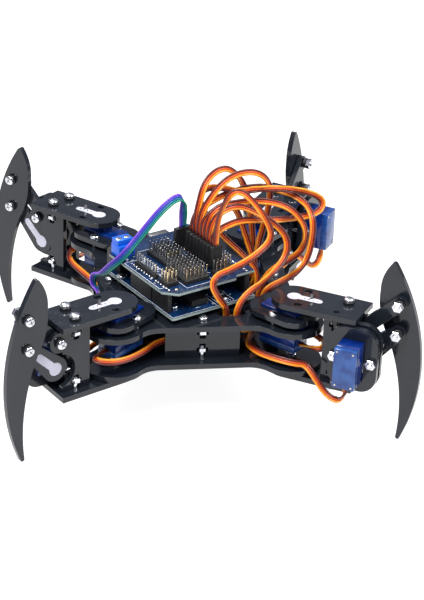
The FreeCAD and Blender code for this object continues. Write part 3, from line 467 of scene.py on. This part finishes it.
def servo(drawing, place):
    """Shaft axis at the origin towards +Z, ears' upper face at z = 0, case towards -X."""
    x0, x1 = -CASE_L / 2 - AXIS_OFF, CASE_L / 2 - AXIS_OFF
    half = CASE_W / 2
    bottom = -EAR_AT - EAR_T
    top = CASE_DEEP + bottom
    seam_low, seam_high = bottom + 3.6, -EAR_T - 0.1
    drawing.box((x0, -half, bottom), (x1, half, seam_low - 0.12), "servo_cap", place, 0.45)
    drawing.box((x0 + 0.15, -half + 0.15, seam_low - 0.5), (x1 - 0.15, half - 0.15, seam_low + 0.5),
                "servo_seam_and_hole_shade", place)
    drawing.box((x0, -half, seam_low), (x1, half, seam_high), "servo_blue", place, 0.35)
    drawing.box((x0 + 0.12, -half + 0.12, seam_high - 0.4), (x1 - 0.12, half - 0.12, seam_high + 0.4),
                "servo_seam_and_hole_shade", place)
    drawing.box((x0, -half, -EAR_T), (x1, half, top), "servo_blue", place, 0.35)
    for end, way in ((x0, -1), (x1, 1)):
        ear = (EAR_L - CASE_L) / 2
        low, high = sorted((end - way * 0.5, end + way * ear))
        outline = rounded_rectangle(low, -half, high, half, 0.8)
        drawing.prism(outline, -EAR_T, 0, "servo_blue", place, 0.2)
        # Painted shade: a dark disc fills the ear's screw hole.
        drawing.lathe([(1.05, -EAR_T - 0.02), (1.05, 0.02)], "servo_seam_and_hole_shade",
                      place @ Matrix.Translation((end + way * (ear - 2.3), 0, 0)), 16)
    drawing.lathe([(BOSS_RAD, top - 0.3), (BOSS_RAD, top + BOSS_DEEP - 0.4),
                   (BOSS_RAD - 0.4, top + BOSS_DEEP)], "servo_blue", place, 40)
    drawing.lathe([(BOSS_RAD / 2, top - 0.3), (BOSS_RAD / 2, top + BOSS_DEEP - 0.3),
                   (BOSS_RAD / 2 - 0.3, top + BOSS_DEEP)], "servo_blue",
                  place @ Matrix.Translation((-BOSS_RAD, 0, 0)), 28)
    drawing.lathe([(2.3, top + BOSS_DEEP - 0.1), (2.3, top + BOSS_DEEP + 3.0)], "nylon", place, 21)
    for sx in (x0 + 1.7, x1 - 1.7):
        for sy in (-half + 1.7, half - 1.7):
            screw = place @ Matrix.Translation((sx, sy, bottom)) @ Matrix.Rotation(math.pi, 4, "X")
            # Painted shade: a dark ring round the screw stands for its pocket.
            drawing.lathe([(0.95, -0.1), (0.95, 0.02)], "servo_seam_and_hole_shade", screw, 14)
            drawing.lathe([(0.7, -0.1), (0.6, 0.05)], "tin", screw, 12)
    exit_z = bottom + 3.7
    drawing.box((x1 - 0.4, -2.3, exit_z - 1.1), (x1 + 0.15, 2.3, exit_z + 1.1), "moulding", place, 0.2)


def hip_servos():
    drawing = Drawing("hip_servo_cases")
    for side in LEGS:
        servo(drawing, outward_place(side) @ Matrix.Translation((0, 0, DECK_Z + EAR_T)))
    drawing.done("chassis", ["hip_servos"])


def leg_servo(side):
    drawing = Drawing(side + "_servo_case")
    servo(drawing, leg_place(side) @ Matrix.Translation((LIFT_U, FAR_N - SHEET, LIFT_Z)) @ LEG_SERVO_TURN)
    drawing.done(side + "_hip", [side + "_leg_servo"])


def horn(drawing, place):
    """Single-arm horn, hub at the origin, arm along +X; the row of small holes in its arm is painted shade,
    dark discs on its face.
    """
    length, hub, tip, thick = 13.9, 3.7, 2.1, 2.9
    outline = ring_points(tip, 12, length, 0, -90, 90)
    blend = [(5.2, tip + 0.05), (4.2, tip + 0.35)]
    outline += blend + ring_points(hub, 28, 0, 0, 42, 318) + [(x, -y) for x, y in blend[::-1]]
    drawing.prism(outline, 0, thick, "nylon", place, 0.25)
    face = place @ Matrix.Translation((0, 0, thick))
    drawing.lathe([(2.3, -0.05), (2.3, 0.1), (1.7, 0.1), (1.6, -0.05)], "nylon", face, 28)
    # Painted shade: dark discs stand for the holes; the arm is not cut through.
    for i in range(4):
        spot = place @ Matrix.Translation((6.0 + 2.35 * i, 0, thick))
        drawing.lathe([(0.45, -0.05), (0.45, 0.012)], "servo_seam_and_hole_shade", spot, 10)


def horns(side):
    drawing = Drawing(side + "_hip_horn_arm")
    horn(drawing, leg_place(side) @ Matrix.Translation((0, 0, TOP_Z + 0.05)))
    drawing.done(side + "_hip", [side + "_hip_horn"])
    tilt = Matrix.Rotation(math.radians(-REST_LIFT), 4, "Y") @ Matrix.Rotation(math.radians(90), 4, "X")
    drawing = Drawing(side + "_lift_horn_arm")
    horn(drawing, leg_place(side) @ Matrix.Translation((LIFT_U, ARM_N - 0.05, LIFT_Z)) @ tilt)
    drawing.done(side + "_lower_arm_body", [side + "_leg_horn"])


# ---------------------------------------------------------------- boards
SOCKETS = ((-25.4, -27.5, 6), (-25.4, -11.2, 8), (22.9, -29.4, 8), (22.9, -9.0, 10))


def pads(drawing, place, x, y, columns, rows, key="tin"):
    """Small round solder joints on a grid."""
    for i in range(columns):
        for j in range(rows):
            spot = place @ Matrix.Translation((x + i * PITCH, y + j * PITCH, 0))
            drawing.lathe([(0.85, 0), (0.8, 0.12), (0.45, 0.35), (0.1, 0.5)], key, spot, 8)


def ink_frame(drawing, place, x0, y0, x1, y1, width=0.22):
    for low, high in (((x0, y0), (x1, y0 + width)), ((x0, y1 - width), (x1, y1)),
                      ((x0, y0), (x0 + width, y1)), ((x1 - width, y0), (x1, y1))):
        drawing.box((*low, 0), (*high, 0.03), "ink", place)


def ink_marks(drawing, place, x0, y0, x1, y1, count, seed):
    """Short printed strokes with no letters in them."""
    pick = random.Random(seed)
    for _ in range(count):
        x, y = pick.uniform(x0, x1), pick.uniform(y0, y1)
        long, short = pick.uniform(0.8, 2.6), 0.28
        w, h = (long, short) if pick.random() < 0.5 else (short, long)
        drawing.box((x, y, 0), (x + w, y + h, 0.03), "ink", place)


def board_body(drawing, outline, place):
    """Board core with pale edges between two masked faces."""
    drawing.prism(outline, 0.12, BOARD_T - 0.12, "board_edge", place)
    drawing.prism(outline, 0, 0.13, "mask", place)
    drawing.prism(outline, BOARD_T - 0.13, BOARD_T, "mask", place)


def chip(drawing, place, x, y, w, h, tall, legs, leg_side="x"):
    drawing.box((x, y, 0.3), (x + w, y + h, tall), "chip", place, 0.15, 1)
    for i in range(legs):
        if leg_side == "x":
            at = y + (i + 0.5) * h / legs
            drawing.box((x - 0.9, at - 0.2, 0), (x + w + 0.9, at + 0.2, 0.6), "tin", place)
        else:
            at = x + (i + 0.5) * w / legs
            drawing.box((at - 0.2, y - 0.9, 0), (at + 0.2, y + h + 0.9, 0.6), "tin", place)


def controller_board():
    drawing = Drawing("controller")
    w, h = MAIN_W / 2, MAIN_L / 2
    place = board_place(MAIN_Z)
    top = board_place(MAIN_Z + BOARD_T)
    board_body(drawing, rounded_rectangle(-w, -h, w, h, 1.5), place)
    drawing.box((5.1, h - 10, 0), (17.1, h + 6.2, 10.9), "tin", top, 0.4)
    # Painted shade: a flat black block on the port's face stands for its hollow opening.
    drawing.box((6.9, h + 5.9, 1.6), (15.3, h + 6.3, 9.4), "moulding", top)
    drawing.box((-23.4, h - 10.6, 0), (-14.4, h + 2.6, 11), "moulding", top, 0.5)
    chip(drawing, top, -11, -29, 10.2, 35.4, 3.6, 14)
    for x, y, pins in SOCKETS:
        drawing.box((x, y, 0), (x + PITCH, y + pins * PITCH, 8.5), "moulding", top, 0.15, 1)
        for j in range(pins):
            drawing.box((x - 0.02, y + (j + 0.5) * PITCH - 0.35, 1.2),
                        (x + 0.1, y + (j + 0.5) * PITCH + 0.35, 7.2), "chip", top)
    chip(drawing, top, 3, 8, 7, 7, 1.3, 8)
    chip(drawing, top, 6, -12, 6.5, 4, 1.8, 4, "y")
    drawing.box((2, 22, 0), (12.5, 26, 3.6), "tin", top, 1.2)
    for x, y in ((16, -6), (16, 2)):
        drawing.lathe([(3.1, 0), (3.1, 5.2), (2.7, 5.6)], "tin", top @ Matrix.Translation((x, y, 0)), 24)
    pick = random.Random(11)
    for _ in range(26):
        x, y = pick.uniform(-20, 20), pick.uniform(-31, 20)
        size = pick.choice(((1.6, 0.8), (0.8, 1.6), (2.0, 1.25)))
        drawing.box((x, y, 0), (x + size[0], y + size[1], 0.6), pick.choice(("chip", "tin", "board_edge")),
                    top)
    ink_marks(drawing, top, -22, -32, 20, 24, 46, 3)
    for i in range(7):
        drawing.box((2 + i * 1.9, -32.5, 0), (2.25 + i * 1.9, -19 - (i % 3) * 2, 0.03), "ink", top)
    ink_frame(drawing, top, -w + 0.5, -h + 0.6, w - 0.5, h - 0.6)
    drawing.done("chassis", ["controller_board"])


HEADERS = (  # first pin across, first pin along, columns, rows, in pitches from the board's middle
    (-5.5, -10.5, 6, 8), (-4.5, -2.0, 5, 8), (2.0, -10.5, 3, 2), (5.5, -9.0, 2, 5),
    (-9.5, -9.5, 3, 3), (-9.5, -5.0, 1, 8))


def sensor_shield():
    drawing = Drawing("shield")
    w, h, c = SHIELD_W / 2, SHIELD_L / 2, 6.5
    place = board_place(SHIELD_Z)
    top = board_place(SHIELD_Z + BOARD_T)
    outline = [(-w + c, -h), (w - 14, -h), (w - 12, -h + 3), (w, -h + 3), (w, h - c), (w - c, h),
               (-w + c, h), (-w, h - c), (-w, -h + c)]
    board_body(drawing, outline, place)
    drop = SHIELD_Z - MAIN_Z - BOARD_T - 8.5
    for x, y, pins in SOCKETS:
        drawing.box((x, y, -drop + 0.1), (x + PITCH, y + pins * PITCH, 0), "moulding", place, 0.12, 1)
        pads(drawing, top, x + PITCH / 2, y + PITCH / 2, 1, pins)
    screw_terminal(drawing, top @ Matrix.Translation((-w + 1.2, h - 14.5, 0)))
    chip(drawing, top, 16, 17, 4, 5, 1.5, 4)
    for x, y in ((18, -24), (14, 24)):
        drawing.box((x, y, 0), (x + 3.2, y + 1.6, 0.9), "board_edge", top)
    drawing.box((19.5, 25, 0), (25.5, 31, 3.4), "moulding", top, 0.2)
    drawing.lathe([(1.7, 3.4), (1.6, 4.2)], "terminal_blue", top @ Matrix.Translation((22.5, 28, 0)), 20)
    ink_frame(drawing, top, -w + 0.7, -23, -w + 9.5, 12)
    ink_frame(drawing, top, -14.8, -h + 3.2, 2.6, 20)
    ink_frame(drawing, top, 14.3, -23.5, 20.2, -9)
    ink_frame(drawing, top, 4.8, -20.5, 15.2, 14)
    ink_marks(drawing, top, -w + 2, -h + 7, -w + 12, 16, 34, 5)
    ink_marks(drawing, top, -20.8, -15, -15.2, 17, 36, 13)
    ink_marks(drawing, top, 20.5, -20, w - 2, 16, 18, 8)
    ink_marks(drawing, top, 2, 15, 14, h - 4, 14, 9)
    pads(drawing, top, -20.5, -h + 5, 1, 1, "gold")
    drawing.done("chassis", ["sensor_shield"])


def screw_terminal(drawing, place):
    """Two-pole screw terminal with slotted screws; its wire mouths and screw slots are painted shade, dark
    blocks on the faces.
    """
    drawing.box((0, 0, 0), (10.2, 8.2, 6.6), "terminal_blue", place, 0.25)
    drawing.box((0.2, 1.6, 6.4), (10.0, 7.9, 9.6), "terminal_blue", place, 0.35)
    for i in range(2):
        x = 2.6 + 5.0 * i
        screw = place @ Matrix.Translation((x, 4.6, 9.3))
        drawing.lathe([(1.75, 0), (1.75, 0.28), (1.5, 0.36)], "tin", screw, 20)
        # Painted shade: a dark bar for the screw's slot.
        drawing.box((-1.5, -0.22, 0.2), (1.5, 0.22, 0.4), "recess_shade", screw @ turn_z(35 + 40 * i))
        # Painted shade: a black block for the wire mouth.
        drawing.box((x - 1.4, -0.05, 1.2), (x + 1.4, 0.3, 4.6), "chip", place)


def pin_headers():
    drawing = Drawing("header_pins")
    top = board_place(SHIELD_Z + BOARD_T)
    for x, y, columns, rows in HEADERS:
        for i in range(columns):
            drawing.box(((x + i) * PITCH + 0.04, y * PITCH, 0),
                        ((x + i + 1) * PITCH - 0.04, (y + rows) * PITCH, 2.5), "moulding", top, 0.12, 1)
            for j in range(rows):
                px, py = (x + i + 0.5) * PITCH, (y + j + 0.5) * PITCH
                # Painted light and shade: the gold of each header's first row against the tin of the rows
                # behind it stands for how light falls on pins of one metal. The 3 by 3 block is gold all
                # through.
                key = "gold" if j == 0 or (x, y) == (-9.5, -9.5) else "tin"
                drawing.box((px - 0.32, py - 0.32, 2.4), (px + 0.32, py + 0.32, 8.5), key, top, 0.1, 1)
    drawing.done("chassis", ["pin_headers"])


PLUG_LOW, PLUG_TALL, PLUG_PITCH = 2.5, 12.0, 3.2


def plug_housing(drawing, place, ways, tall):
    """Crimp housing: a slim block with a latch window for each way."""
    half = ways * PITCH / 2
    drawing.box((-half, -PITCH / 2, 0), (half, PITCH / 2, tall), "moulding", place, 0.18, 1)
    for i in range(ways):
        x = -half + (i + 0.5) * PITCH
        for face in (-1, 1):
            low, high = sorted((face * (PITCH / 2 - 0.1), face * (PITCH / 2 + 0.02)))
            drawing.box((x - 0.7, low, tall * 0.35), (x + 0.7, high, tall * 0.72), "chip", place)
    for i in range(1, ways):
        drawing.box((-half + i * PITCH - 0.07, -PITCH / 2 - 0.02, 0.4),
                    (-half + i * PITCH + 0.07, PITCH / 2 + 0.02, tall - 0.3), "spacer", place)


def servo_plugs():
    drawing = Drawing("plug_housings")
    top = board_place(SHIELD_Z + BOARD_T + PLUG_LOW)
    for i in range(8):
        plug_housing(drawing, top @ Matrix.Translation((9.9, -19 + PLUG_PITCH * i, 0)), 3, PLUG_TALL)
    plug_housing(drawing, top @ Matrix.Translation((7.43, 9.11, 0)), 4, PLUG_TALL)
    drawing.done("chassis", ["servo_plugs"])


def radio_module():
    drawing = Drawing("radio_board")
    place = CHASSIS @ Matrix.Translation((-33.5, 4.5, 38.4))
    board_body(drawing, rounded_rectangle(-7.6, -17, 7.6, 17, 0.6), place)
    drawing.box((-5.6, -14, -2.1), (5.6, 14, 0), "spacer", place)
    drawing.box((-6, 0, BOARD_T), (6, 15, BOARD_T + 2.4), "tin", place, 0.3)
    plug = place @ Matrix.Translation((0, -13.5, BOARD_T))
    plug_housing(drawing, plug, 4, 46 - 38.4 - BOARD_T)
    drawing.done("chassis", ["radio_module"])


# ---------------------------------------------------------------- ribbons
# The corner points of each ribbon's route, the same as in the part, in metres in the chassis frame.
CABLES = {
    "front_left_leg": (
        (0.0042, -0.0175, 0.0904), (0.0042, -0.0175, 0.0985), (0.009, -0.0145, 0.107),
        (0.0255, -0.012, 0.11), (0.039, -0.012, 0.109), (0.05, -0.013, 0.1055), (0.0575, -0.0135, 0.097),
        (0.06, -0.013, 0.088), (0.057, -0.0115, 0.0765), (0.042, -0.011, 0.068), (0.036, -0.0115, 0.058),
        (0.035, -0.012, 0.0485), (0.024, -0.015, 0.0415), (0.012, -0.0185, 0.0415), (-0.008, -0.02, 0.041),
        (-0.026, -0.022, 0.041), (-0.042, -0.0275, 0.0405), (-0.0555, -0.0375, 0.0405)),
    "front_right_leg": (
        (-0.0016, -0.0061, 0.0904), (-0.0016, -0.0061, 0.0995), (0.01, -0.003, 0.107),
        (0.024, 0.002, 0.11), (0.034, 0.007, 0.1095), (0.045, 0.0085, 0.1075), (0.0595, 0.003, 0.1035),
        (0.0635, -0.0105, 0.0985), (0.0635, -0.012, 0.0855), (0.06, -0.016, 0.074), (0.053, -0.018, 0.067),
        (0.037, -0.0195, 0.06), (0.036, -0.019, 0.052), (0.033, -0.026, 0.0435), (0.028, -0.036, 0.0415),
        (0.0245, -0.045, 0.0415), (0.028, -0.055, 0.0415), (0.038, -0.063, 0.041)),
    "rear_right_leg": (
        (-0.0002, -0.0089, 0.0904), (-0.0002, -0.0089, 0.0995), (0.001, -0.009, 0.1065),
        (0.004, -0.005, 0.117), (0.011, 0, 0.1225), (0.019, 0.004, 0.122), (0.027, 0.01, 0.1115),
        (0.031, 0.0155, 0.1), (0.0345, 0.018, 0.084), (0.036, 0.0185, 0.07), (0.036, 0.0185, 0.058),
        (0.0365, 0.019, 0.05), (0.039, 0.0235, 0.043), (0.046, 0.0295, 0.041), (0.056, 0.0415, 0.041)),
    "rear_left_leg": (
        (0.0027, -0.0146, 0.0904), (0.0027, -0.0146, 0.0985), (0.008, -0.0125, 0.104),
        (0.0145, -0.006, 0.1045), (0.02, 0.0025, 0.1015), (0.026, 0.009, 0.092), (0.031, 0.009, 0.076),
        (0.035, 0.0045, 0.065), (0.036, 0.004, 0.056), (0.034, 0.006, 0.048), (0.024, 0.013, 0.0425),
        (0.008, 0.022, 0.041), (-0.01, 0.033, 0.041), (-0.023, 0.044, 0.041), (-0.028, 0.055, 0.041),
        (-0.036, 0.063, 0.041)),
    "front_left_hip": (
        (0.0085, -0.026, 0.0904), (0.0085, -0.026, 0.0975), (0.0095, -0.027, 0.1085),
        (0.0145, -0.0275, 0.121), (0.0205, -0.0285, 0.123), (0.0275, -0.029, 0.1165),
        (0.036, -0.031, 0.1045), (0.0375, -0.033, 0.096), (0.0265, -0.037, 0.0875), (0.014, -0.043, 0.084),
        (0.0065, -0.047, 0.083), (0.004, -0.049, 0.0785), (0.007, -0.049, 0.072), (0.011, -0.0465, 0.0655),
        (0.013, -0.044, 0.0605), (0.013, -0.043, 0.053), (0.004, -0.0435, 0.0465),
        (-0.01, -0.0435, 0.0455), (-0.024, -0.0465, 0.0445), (-0.031, -0.056, 0.0445),
        (-0.0405, -0.0645, 0.0445), (-0.0485, -0.0685, 0.045), (-0.0565, -0.069, 0.046),
        (-0.0595, -0.065, 0.0465), (-0.0515, -0.0571, 0.0463)),
    "front_right_hip": (
        (0.0056, -0.0203, 0.0904), (0.0056, -0.0203, 0.0985), (0.012, -0.018, 0.107),
        (0.022, -0.018, 0.11), (0.0335, -0.0195, 0.1045), (0.045, -0.022, 0.0965), (0.048, -0.025, 0.089),
        (0.045, -0.029, 0.0815), (0.0345, -0.036, 0.074), (0.023, -0.041, 0.068), (0.0185, -0.044, 0.061),
        (0.019, -0.0425, 0.052), (0.023, -0.041, 0.0465), (0.033, -0.034, 0.0465),
        (0.044, -0.0325, 0.0465), (0.0535, -0.0385, 0.0465), (0.0605, -0.0465, 0.0465),
        (0.064, -0.054, 0.0465), (0.063, -0.062, 0.0465), (0.059, -0.0645, 0.0465),
        (0.0515, -0.0571, 0.0463)),
    "rear_right_hip": (
        (0.0013, -0.0118, 0.0904), (0.0013, -0.0118, 0.0995), (0.0055, -0.01, 0.1085),
        (0.0135, -0.007, 0.1185), (0.0235, -0.0035, 0.1225), (0.034, 0, 0.121), (0.0415, 0.0035, 0.113),
        (0.042, 0.006, 0.1), (0.04, 0.0095, 0.084), (0.037, 0.011, 0.07), (0.036, 0.0115, 0.058),
        (0.035, 0.012, 0.0505), (0.03, 0.02, 0.047), (0.025, 0.032, 0.0465), (0.025, 0.044, 0.0465),
        (0.0305, 0.056, 0.046), (0.0405, 0.0645, 0.046), (0.0485, 0.0685, 0.046), (0.0565, 0.069, 0.0465),
        (0.0595, 0.065, 0.0465), (0.0515, 0.0571, 0.0463)),
    "rear_left_hip": (
        (0.0071, -0.0232, 0.0904), (0.0071, -0.0232, 0.0965), (0.02, -0.0195, 0.1015),
        (0.0305, -0.0175, 0.101), (0.0445, -0.013, 0.0985), (0.0585, -0.007, 0.097),
        (0.068, -0.0015, 0.097), (0.071, 0.001, 0.1015), (0.068, 0.0025, 0.105), (0.0595, 0.002, 0.1085),
        (0.0465, 0.001, 0.1105), (0.034, -0.001, 0.1115), (0.023, -0.0025, 0.1105),
        (0.013, -0.0015, 0.1135), (0.005, 0.004, 0.11), (0.0035, 0.01, 0.101), (0.008, 0.012, 0.09),
        (0.0165, 0.008, 0.08), (0.026, 0.0025, 0.0725), (0.034, -0.0025, 0.066), (0.036, -0.004, 0.058),
        (0.034, -0.0045, 0.0505), (0.022, -0.0055, 0.047), (0.002, -0.008, 0.046), (-0.018, -0.011, 0.046),
        (-0.036, -0.016, 0.0455), (-0.041, -0.0235, 0.0455), (-0.0465, -0.0255, 0.0455),
        (-0.05, -0.02, 0.0455), (-0.05, -0.007, 0.0455), (-0.0495, 0.007, 0.045), (-0.052, 0.022, 0.0455),
        (-0.058, 0.035, 0.046), (-0.063, 0.045, 0.0465), (-0.0645, 0.0545, 0.0465),
        (-0.063, 0.062, 0.0465), (-0.059, 0.0645, 0.0465), (-0.0515, 0.0571, 0.0463)),
    "jumper": (
        (-0.0064, -0.0021, 0.0904), (-0.0064, -0.0021, 0.0985), (-0.0062, -0.0025, 0.107),
        (-0.0105, -0.0065, 0.1105), (-0.0195, -0.0095, 0.104), (-0.0305, -0.0125, 0.0905),
        (-0.0405, -0.017, 0.08), (-0.047, -0.0125, 0.072), (-0.05, -0.0045, 0.064),
        (-0.0543, 0.002, 0.0615), (-0.0543, 0.004, 0.0528), (-0.05, -0.002, 0.0512),
        (-0.05, -0.011, 0.0505), (-0.05, -0.02, 0.0505), (-0.0465, -0.0255, 0.051),
        (-0.041, -0.0235, 0.0515), (-0.036, -0.018, 0.052), (-0.0335, -0.009, 0.0535),
        (-0.0335, -0.009, 0.0461)),
}

# The last corners of a leg ribbon, in its leg frame.
LEG_RUN = ((0.008, -0.0125, 0.0405), (0.014, -0.015, 0.043), (0.0205, -0.0175, 0.038),
           (0.027, -0.0195, 0.0315), (0.034, -0.021, 0.029), (0.039, -0.0215, 0.0335),
           (0.039, -0.0215, 0.04005))

WIRE_STEPS = 7                                    # sides of a round wire
SERVO_WIRE_D, JUMPER_WIRE_D = 0.0013, 0.0012      # in metres
FORWARD = Vector((0.1, -1, 0.35))
DOWNWARD_LEAN = Vector((0, 0, -0.9))


def spline_points(name, points):
    """Points along the smooth line that has the route's corners as control points."""
    curve = bpy.data.curves.new(name, "CURVE")
    curve.dimensions = "3D"
    spline = curve.splines.new("NURBS")
    spline.points.add(len(points) - 1)
    for target, point in zip(spline.points, points):
        target.co = (*point, 1)
    spline.order_u = 3
    spline.use_endpoint_u = True
    spline.resolution_u = 14
    holder = bpy.data.objects.new(name, curve)
    mesh = bpy.data.meshes.new_from_object(holder)
    line = [vert.co.copy() for vert in mesh.vertices]
    bpy.data.meshes.remove(mesh)
    bpy.data.objects.remove(holder)
    bpy.data.curves.remove(curve)
    return line


def smooth_directions(values, passes):
    for _ in range(passes):
        values = [values[0]] + [(a + b * 2 + c).normalized() for a, b, c in
                                zip(values, values[1:], values[2:])] + [values[-1]]
    return values


def face_front(side, tangent):
    """Turns a ribbon's width so that its flat face looks forward."""
    wanted = tangent.cross(FORWARD)
    return wanted * 1.6 + (side if side.dot(wanted) > 0 else -side)


def lean_down(side, _):
    return side + DOWNWARD_LEAN


def flat_directions(line, start, end, turn):
    """Direction of the ribbon's width at each point: square to its bends, turned, fixed at both ends."""
    count = len(line)
    tangents = [(line[min(i + 1, count - 1)] - line[max(i - 1, 0)]).normalized() for i in range(count)]
    bends = [Vector()] * count
    side = start.normalized()
    for i in range(1, count - 1):
        bend = tangents[i - 1].cross(tangents[i + 1])
        if bend.dot(side) < 0:
            bend = -bend
        bends[i] = bend
        side = (side + bend * 3).normalized()
    window = max(4, count // 24)
    sides = []
    for i in range(count):
        total = side_hint(i, count, start, end) * 0.02
        for j in range(max(0, i - window), min(count, i + window + 1)):
            total = total + bends[j]
        sides.append(total)
    sides = [turn(side.normalized(), tangent) for side, tangent in zip(align(sides, start), tangents)]
    fade = max(3, count // 14)
    final_sign = 1 if sides[-1 - fade].dot(end) >= 0 else -1
    for i in range(fade):
        share = (1 - i / fade) ** 2
        sides[i] = sides[i].normalized() * (1 - share) + start.normalized() * share
        k = count - 1 - i
        sides[k] = sides[k].normalized() * (1 - share) + end.normalized() * final_sign * share
    sides = smooth_directions([s.normalized() for s in sides], 12)
    return tangents, [(s - t * s.dot(t)).normalized() for s, t in zip(sides, tangents)]


def side_hint(i, count, start, end):
    return (start if i < count / 2 else end).normalized()


def align(sides, start):
    """Flip directions so that neighbours agree."""
    last = start
    out = []
    for side in sides:
        if side.dot(last) < 0:
            side = -side
        last = side
        out.append(side)
    return out


def ribbon(name, points, wires, wire_d, start, end, turn=face_front):
    """Flat cable: round wires side by side, swept along the route's smooth line."""
    line = spline_points(name + "_line", points)
    tangents, sides = flat_directions(line, start, end, turn)
    bm = bmesh.new()
    for index in range(len(wires)):
        offset = (index - (len(wires) - 1) / 2) * wire_d * 0.94
        rings = []
        for point, tangent, side in zip(line, tangents, sides):
            normal = tangent.cross(side)
            rings.append([bm.verts.new(point + side * (offset + wire_d / 2 * math.cos(a))
                                       + normal * wire_d / 2 * math.sin(a))
                          for a in (math.tau * k / WIRE_STEPS for k in range(WIRE_STEPS))])
        for lower, upper in zip(rings, rings[1:]):
            for k in range(WIRE_STEPS):
                j = (k + 1) % WIRE_STEPS
                bm.faces.new((lower[k], lower[j], upper[j], upper[k])).material_index = index
        bm.faces.new(rings[0][::-1]).material_index = index
        bm.faces.new(rings[-1]).material_index = index
    bmesh.ops.recalc_face_normals(bm, faces=bm.faces)
    for face in bm.faces:
        face.smooth = len(face.verts) == 4
    mesh = bpy.data.meshes.new(name)
    bm.to_mesh(mesh)
    bm.free()
    for key in wires:
        mesh.materials.append(M[key])
    piece = bpy.data.objects.new(name, mesh)
    bpy.context.scene.collection.objects.link(piece)
    return piece


def row_points(key):
    """A ribbon's corner points in the row frame, in metres."""
    points = [CENTRE * MM + Vector(p) for p in CABLES[key]]
    side = key[:-4]
    if side in LEGS and key.endswith("_leg"):
        place = leg_place(side)
        points += [(place @ (Vector(p) / MM)) * MM for p in LEG_RUN]
    return points


def make_cables():
    servo_wires = ["brown", "red", "orange"]
    along_plug = turn_z(BOARD_TURN) @ Vector((1, 0, 0))
    for side, (sx, sy, yaw) in LEGS.items():
        out = turn_z(yaw) @ Vector((1, 0, 0))
        piece = ribbon(side + "_leg_ribbon", row_points(side + "_leg"), servo_wires, SERVO_WIRE_D,
                       along_plug, out)
        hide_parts(side + "_leg_cable")
        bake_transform(piece)
        across = Vector((-sy, sx, 0))
        piece = ribbon(side + "_hip_ribbon", row_points(side + "_hip"), servo_wires, SERVO_WIRE_D, along_plug,
                       across)
        if side == "front_left":
            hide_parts("chassis_cables")
        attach(piece, "chassis")
    piece = ribbon("jumper_ribbon", row_points("jumper"), ["purple", "blue_wire", "teal", "green"],
                   JUMPER_WIRE_D, along_plug, Vector((1, 0, 0)), lean_down)
    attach(piece, "chassis")


make_cables()

# ---------------------------------------------------------------- looks of the sheet parts


def repaint(node, material):
    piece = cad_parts[node]
    for slot in piece.material_slots:
        slot.material = material


sheet_look = acrylic()
for node in ("lower_chassis_plate", "upper_chassis_plate", "hip_servo_clamps", "chassis_walls"):
    repaint(node, sheet_look)
for side in LEGS:
    for stem in ("hip_side_plates", "lower_arm", "upper_arm", "foot", "hip_top_plate", "hip_bottom_plate"):
        repaint(side + "_" + stem, sheet_look)

# ---------------------------------------------------------------- detailed pieces
chassis_fasteners()
hip_servos()
controller_board()
sensor_shield()
pin_headers()
servo_plugs()
radio_module()
for side in LEGS:
    hip_fasteners(side)
    foot_fasteners(side)
    leg_servo(side)
    horns(side)

# ---------------------------------------------------------------- stage
LIGHT_TARGET = Vector((0, 0, 0.05))
FLOOR_HALF = 4.0
WHITE = (1.0, 1.0, 1.0)
FAR_SKY = (0.21, 0.225, 0.27)
SKY_STRENGTH = 1.1

def area_light(name, place, size, power):
    data = bpy.data.lights.new(name, "AREA")
    data.shape = "DISK"
    data.size = size
    data.energy = power
    light = bpy.data.objects.new(name, data)
    bpy.context.scene.collection.objects.link(light)
    light.location = place
    light.rotation_euler = (LIGHT_TARGET - Vector(place)).to_track_quat("-Z", "Y").to_euler()


def sky_look(tree):
    """Light from above that dims towards the horizon, so level sheet stays dark; the backdrop is white."""
    back = tree.nodes["Background"]
    place = tree.nodes.new("ShaderNodeTexCoord")
    split = tree.nodes.new("ShaderNodeSeparateXYZ")
    tree.links.new(place.outputs["Generated"], split.inputs["Vector"])
    height = spread(tree, split.outputs["Z"], 0.45, 0.95, 0.0, 1.0)
    colour = mix(tree, height, FAR_SKY, WHITE)
    seen = tree.nodes.new("ShaderNodeLightPath").outputs["Is Camera Ray"]
    tree.links.new(mix(tree, seen, colour, WHITE), back.inputs["Color"])
    back.inputs["Strength"].default_value = SKY_STRENGTH


def make_stage():
    bm = bmesh.new()
    bmesh.ops.create_grid(bm, x_segments=1, y_segments=1, size=FLOOR_HALF)
    mesh = bpy.data.meshes.new("floor")
    bm.to_mesh(mesh)
    bm.free()
    floor = bpy.data.objects.new("floor", mesh)
    bpy.context.scene.collection.objects.link(floor)
    material, _, shader = new_material("floor")
    shader.inputs["Base Color"].default_value = (0.25, 0.25, 0.25, 1)
    shader.inputs["Roughness"].default_value = 0.7
    shader.inputs["Emission Color"].default_value = (*WHITE, 1)
    shader.inputs["Emission Strength"].default_value = 0.92
    mesh.materials.append(material)
    world = bpy.data.worlds.new("studio")
    bpy.context.scene.world = world
    world.use_nodes = True
    sky_look(world.node_tree)
    area_light("key", (-0.35, -0.55, 1.1), 0.5, 15)
    area_light("fill", (0.75, -0.25, 0.9), 0.5, 7)
    area_light("rim", (-0.2, 0.8, 1.0), 0.4, 6)


make_stage()
bpy.context.scene.view_settings.view_transform = "Standard"
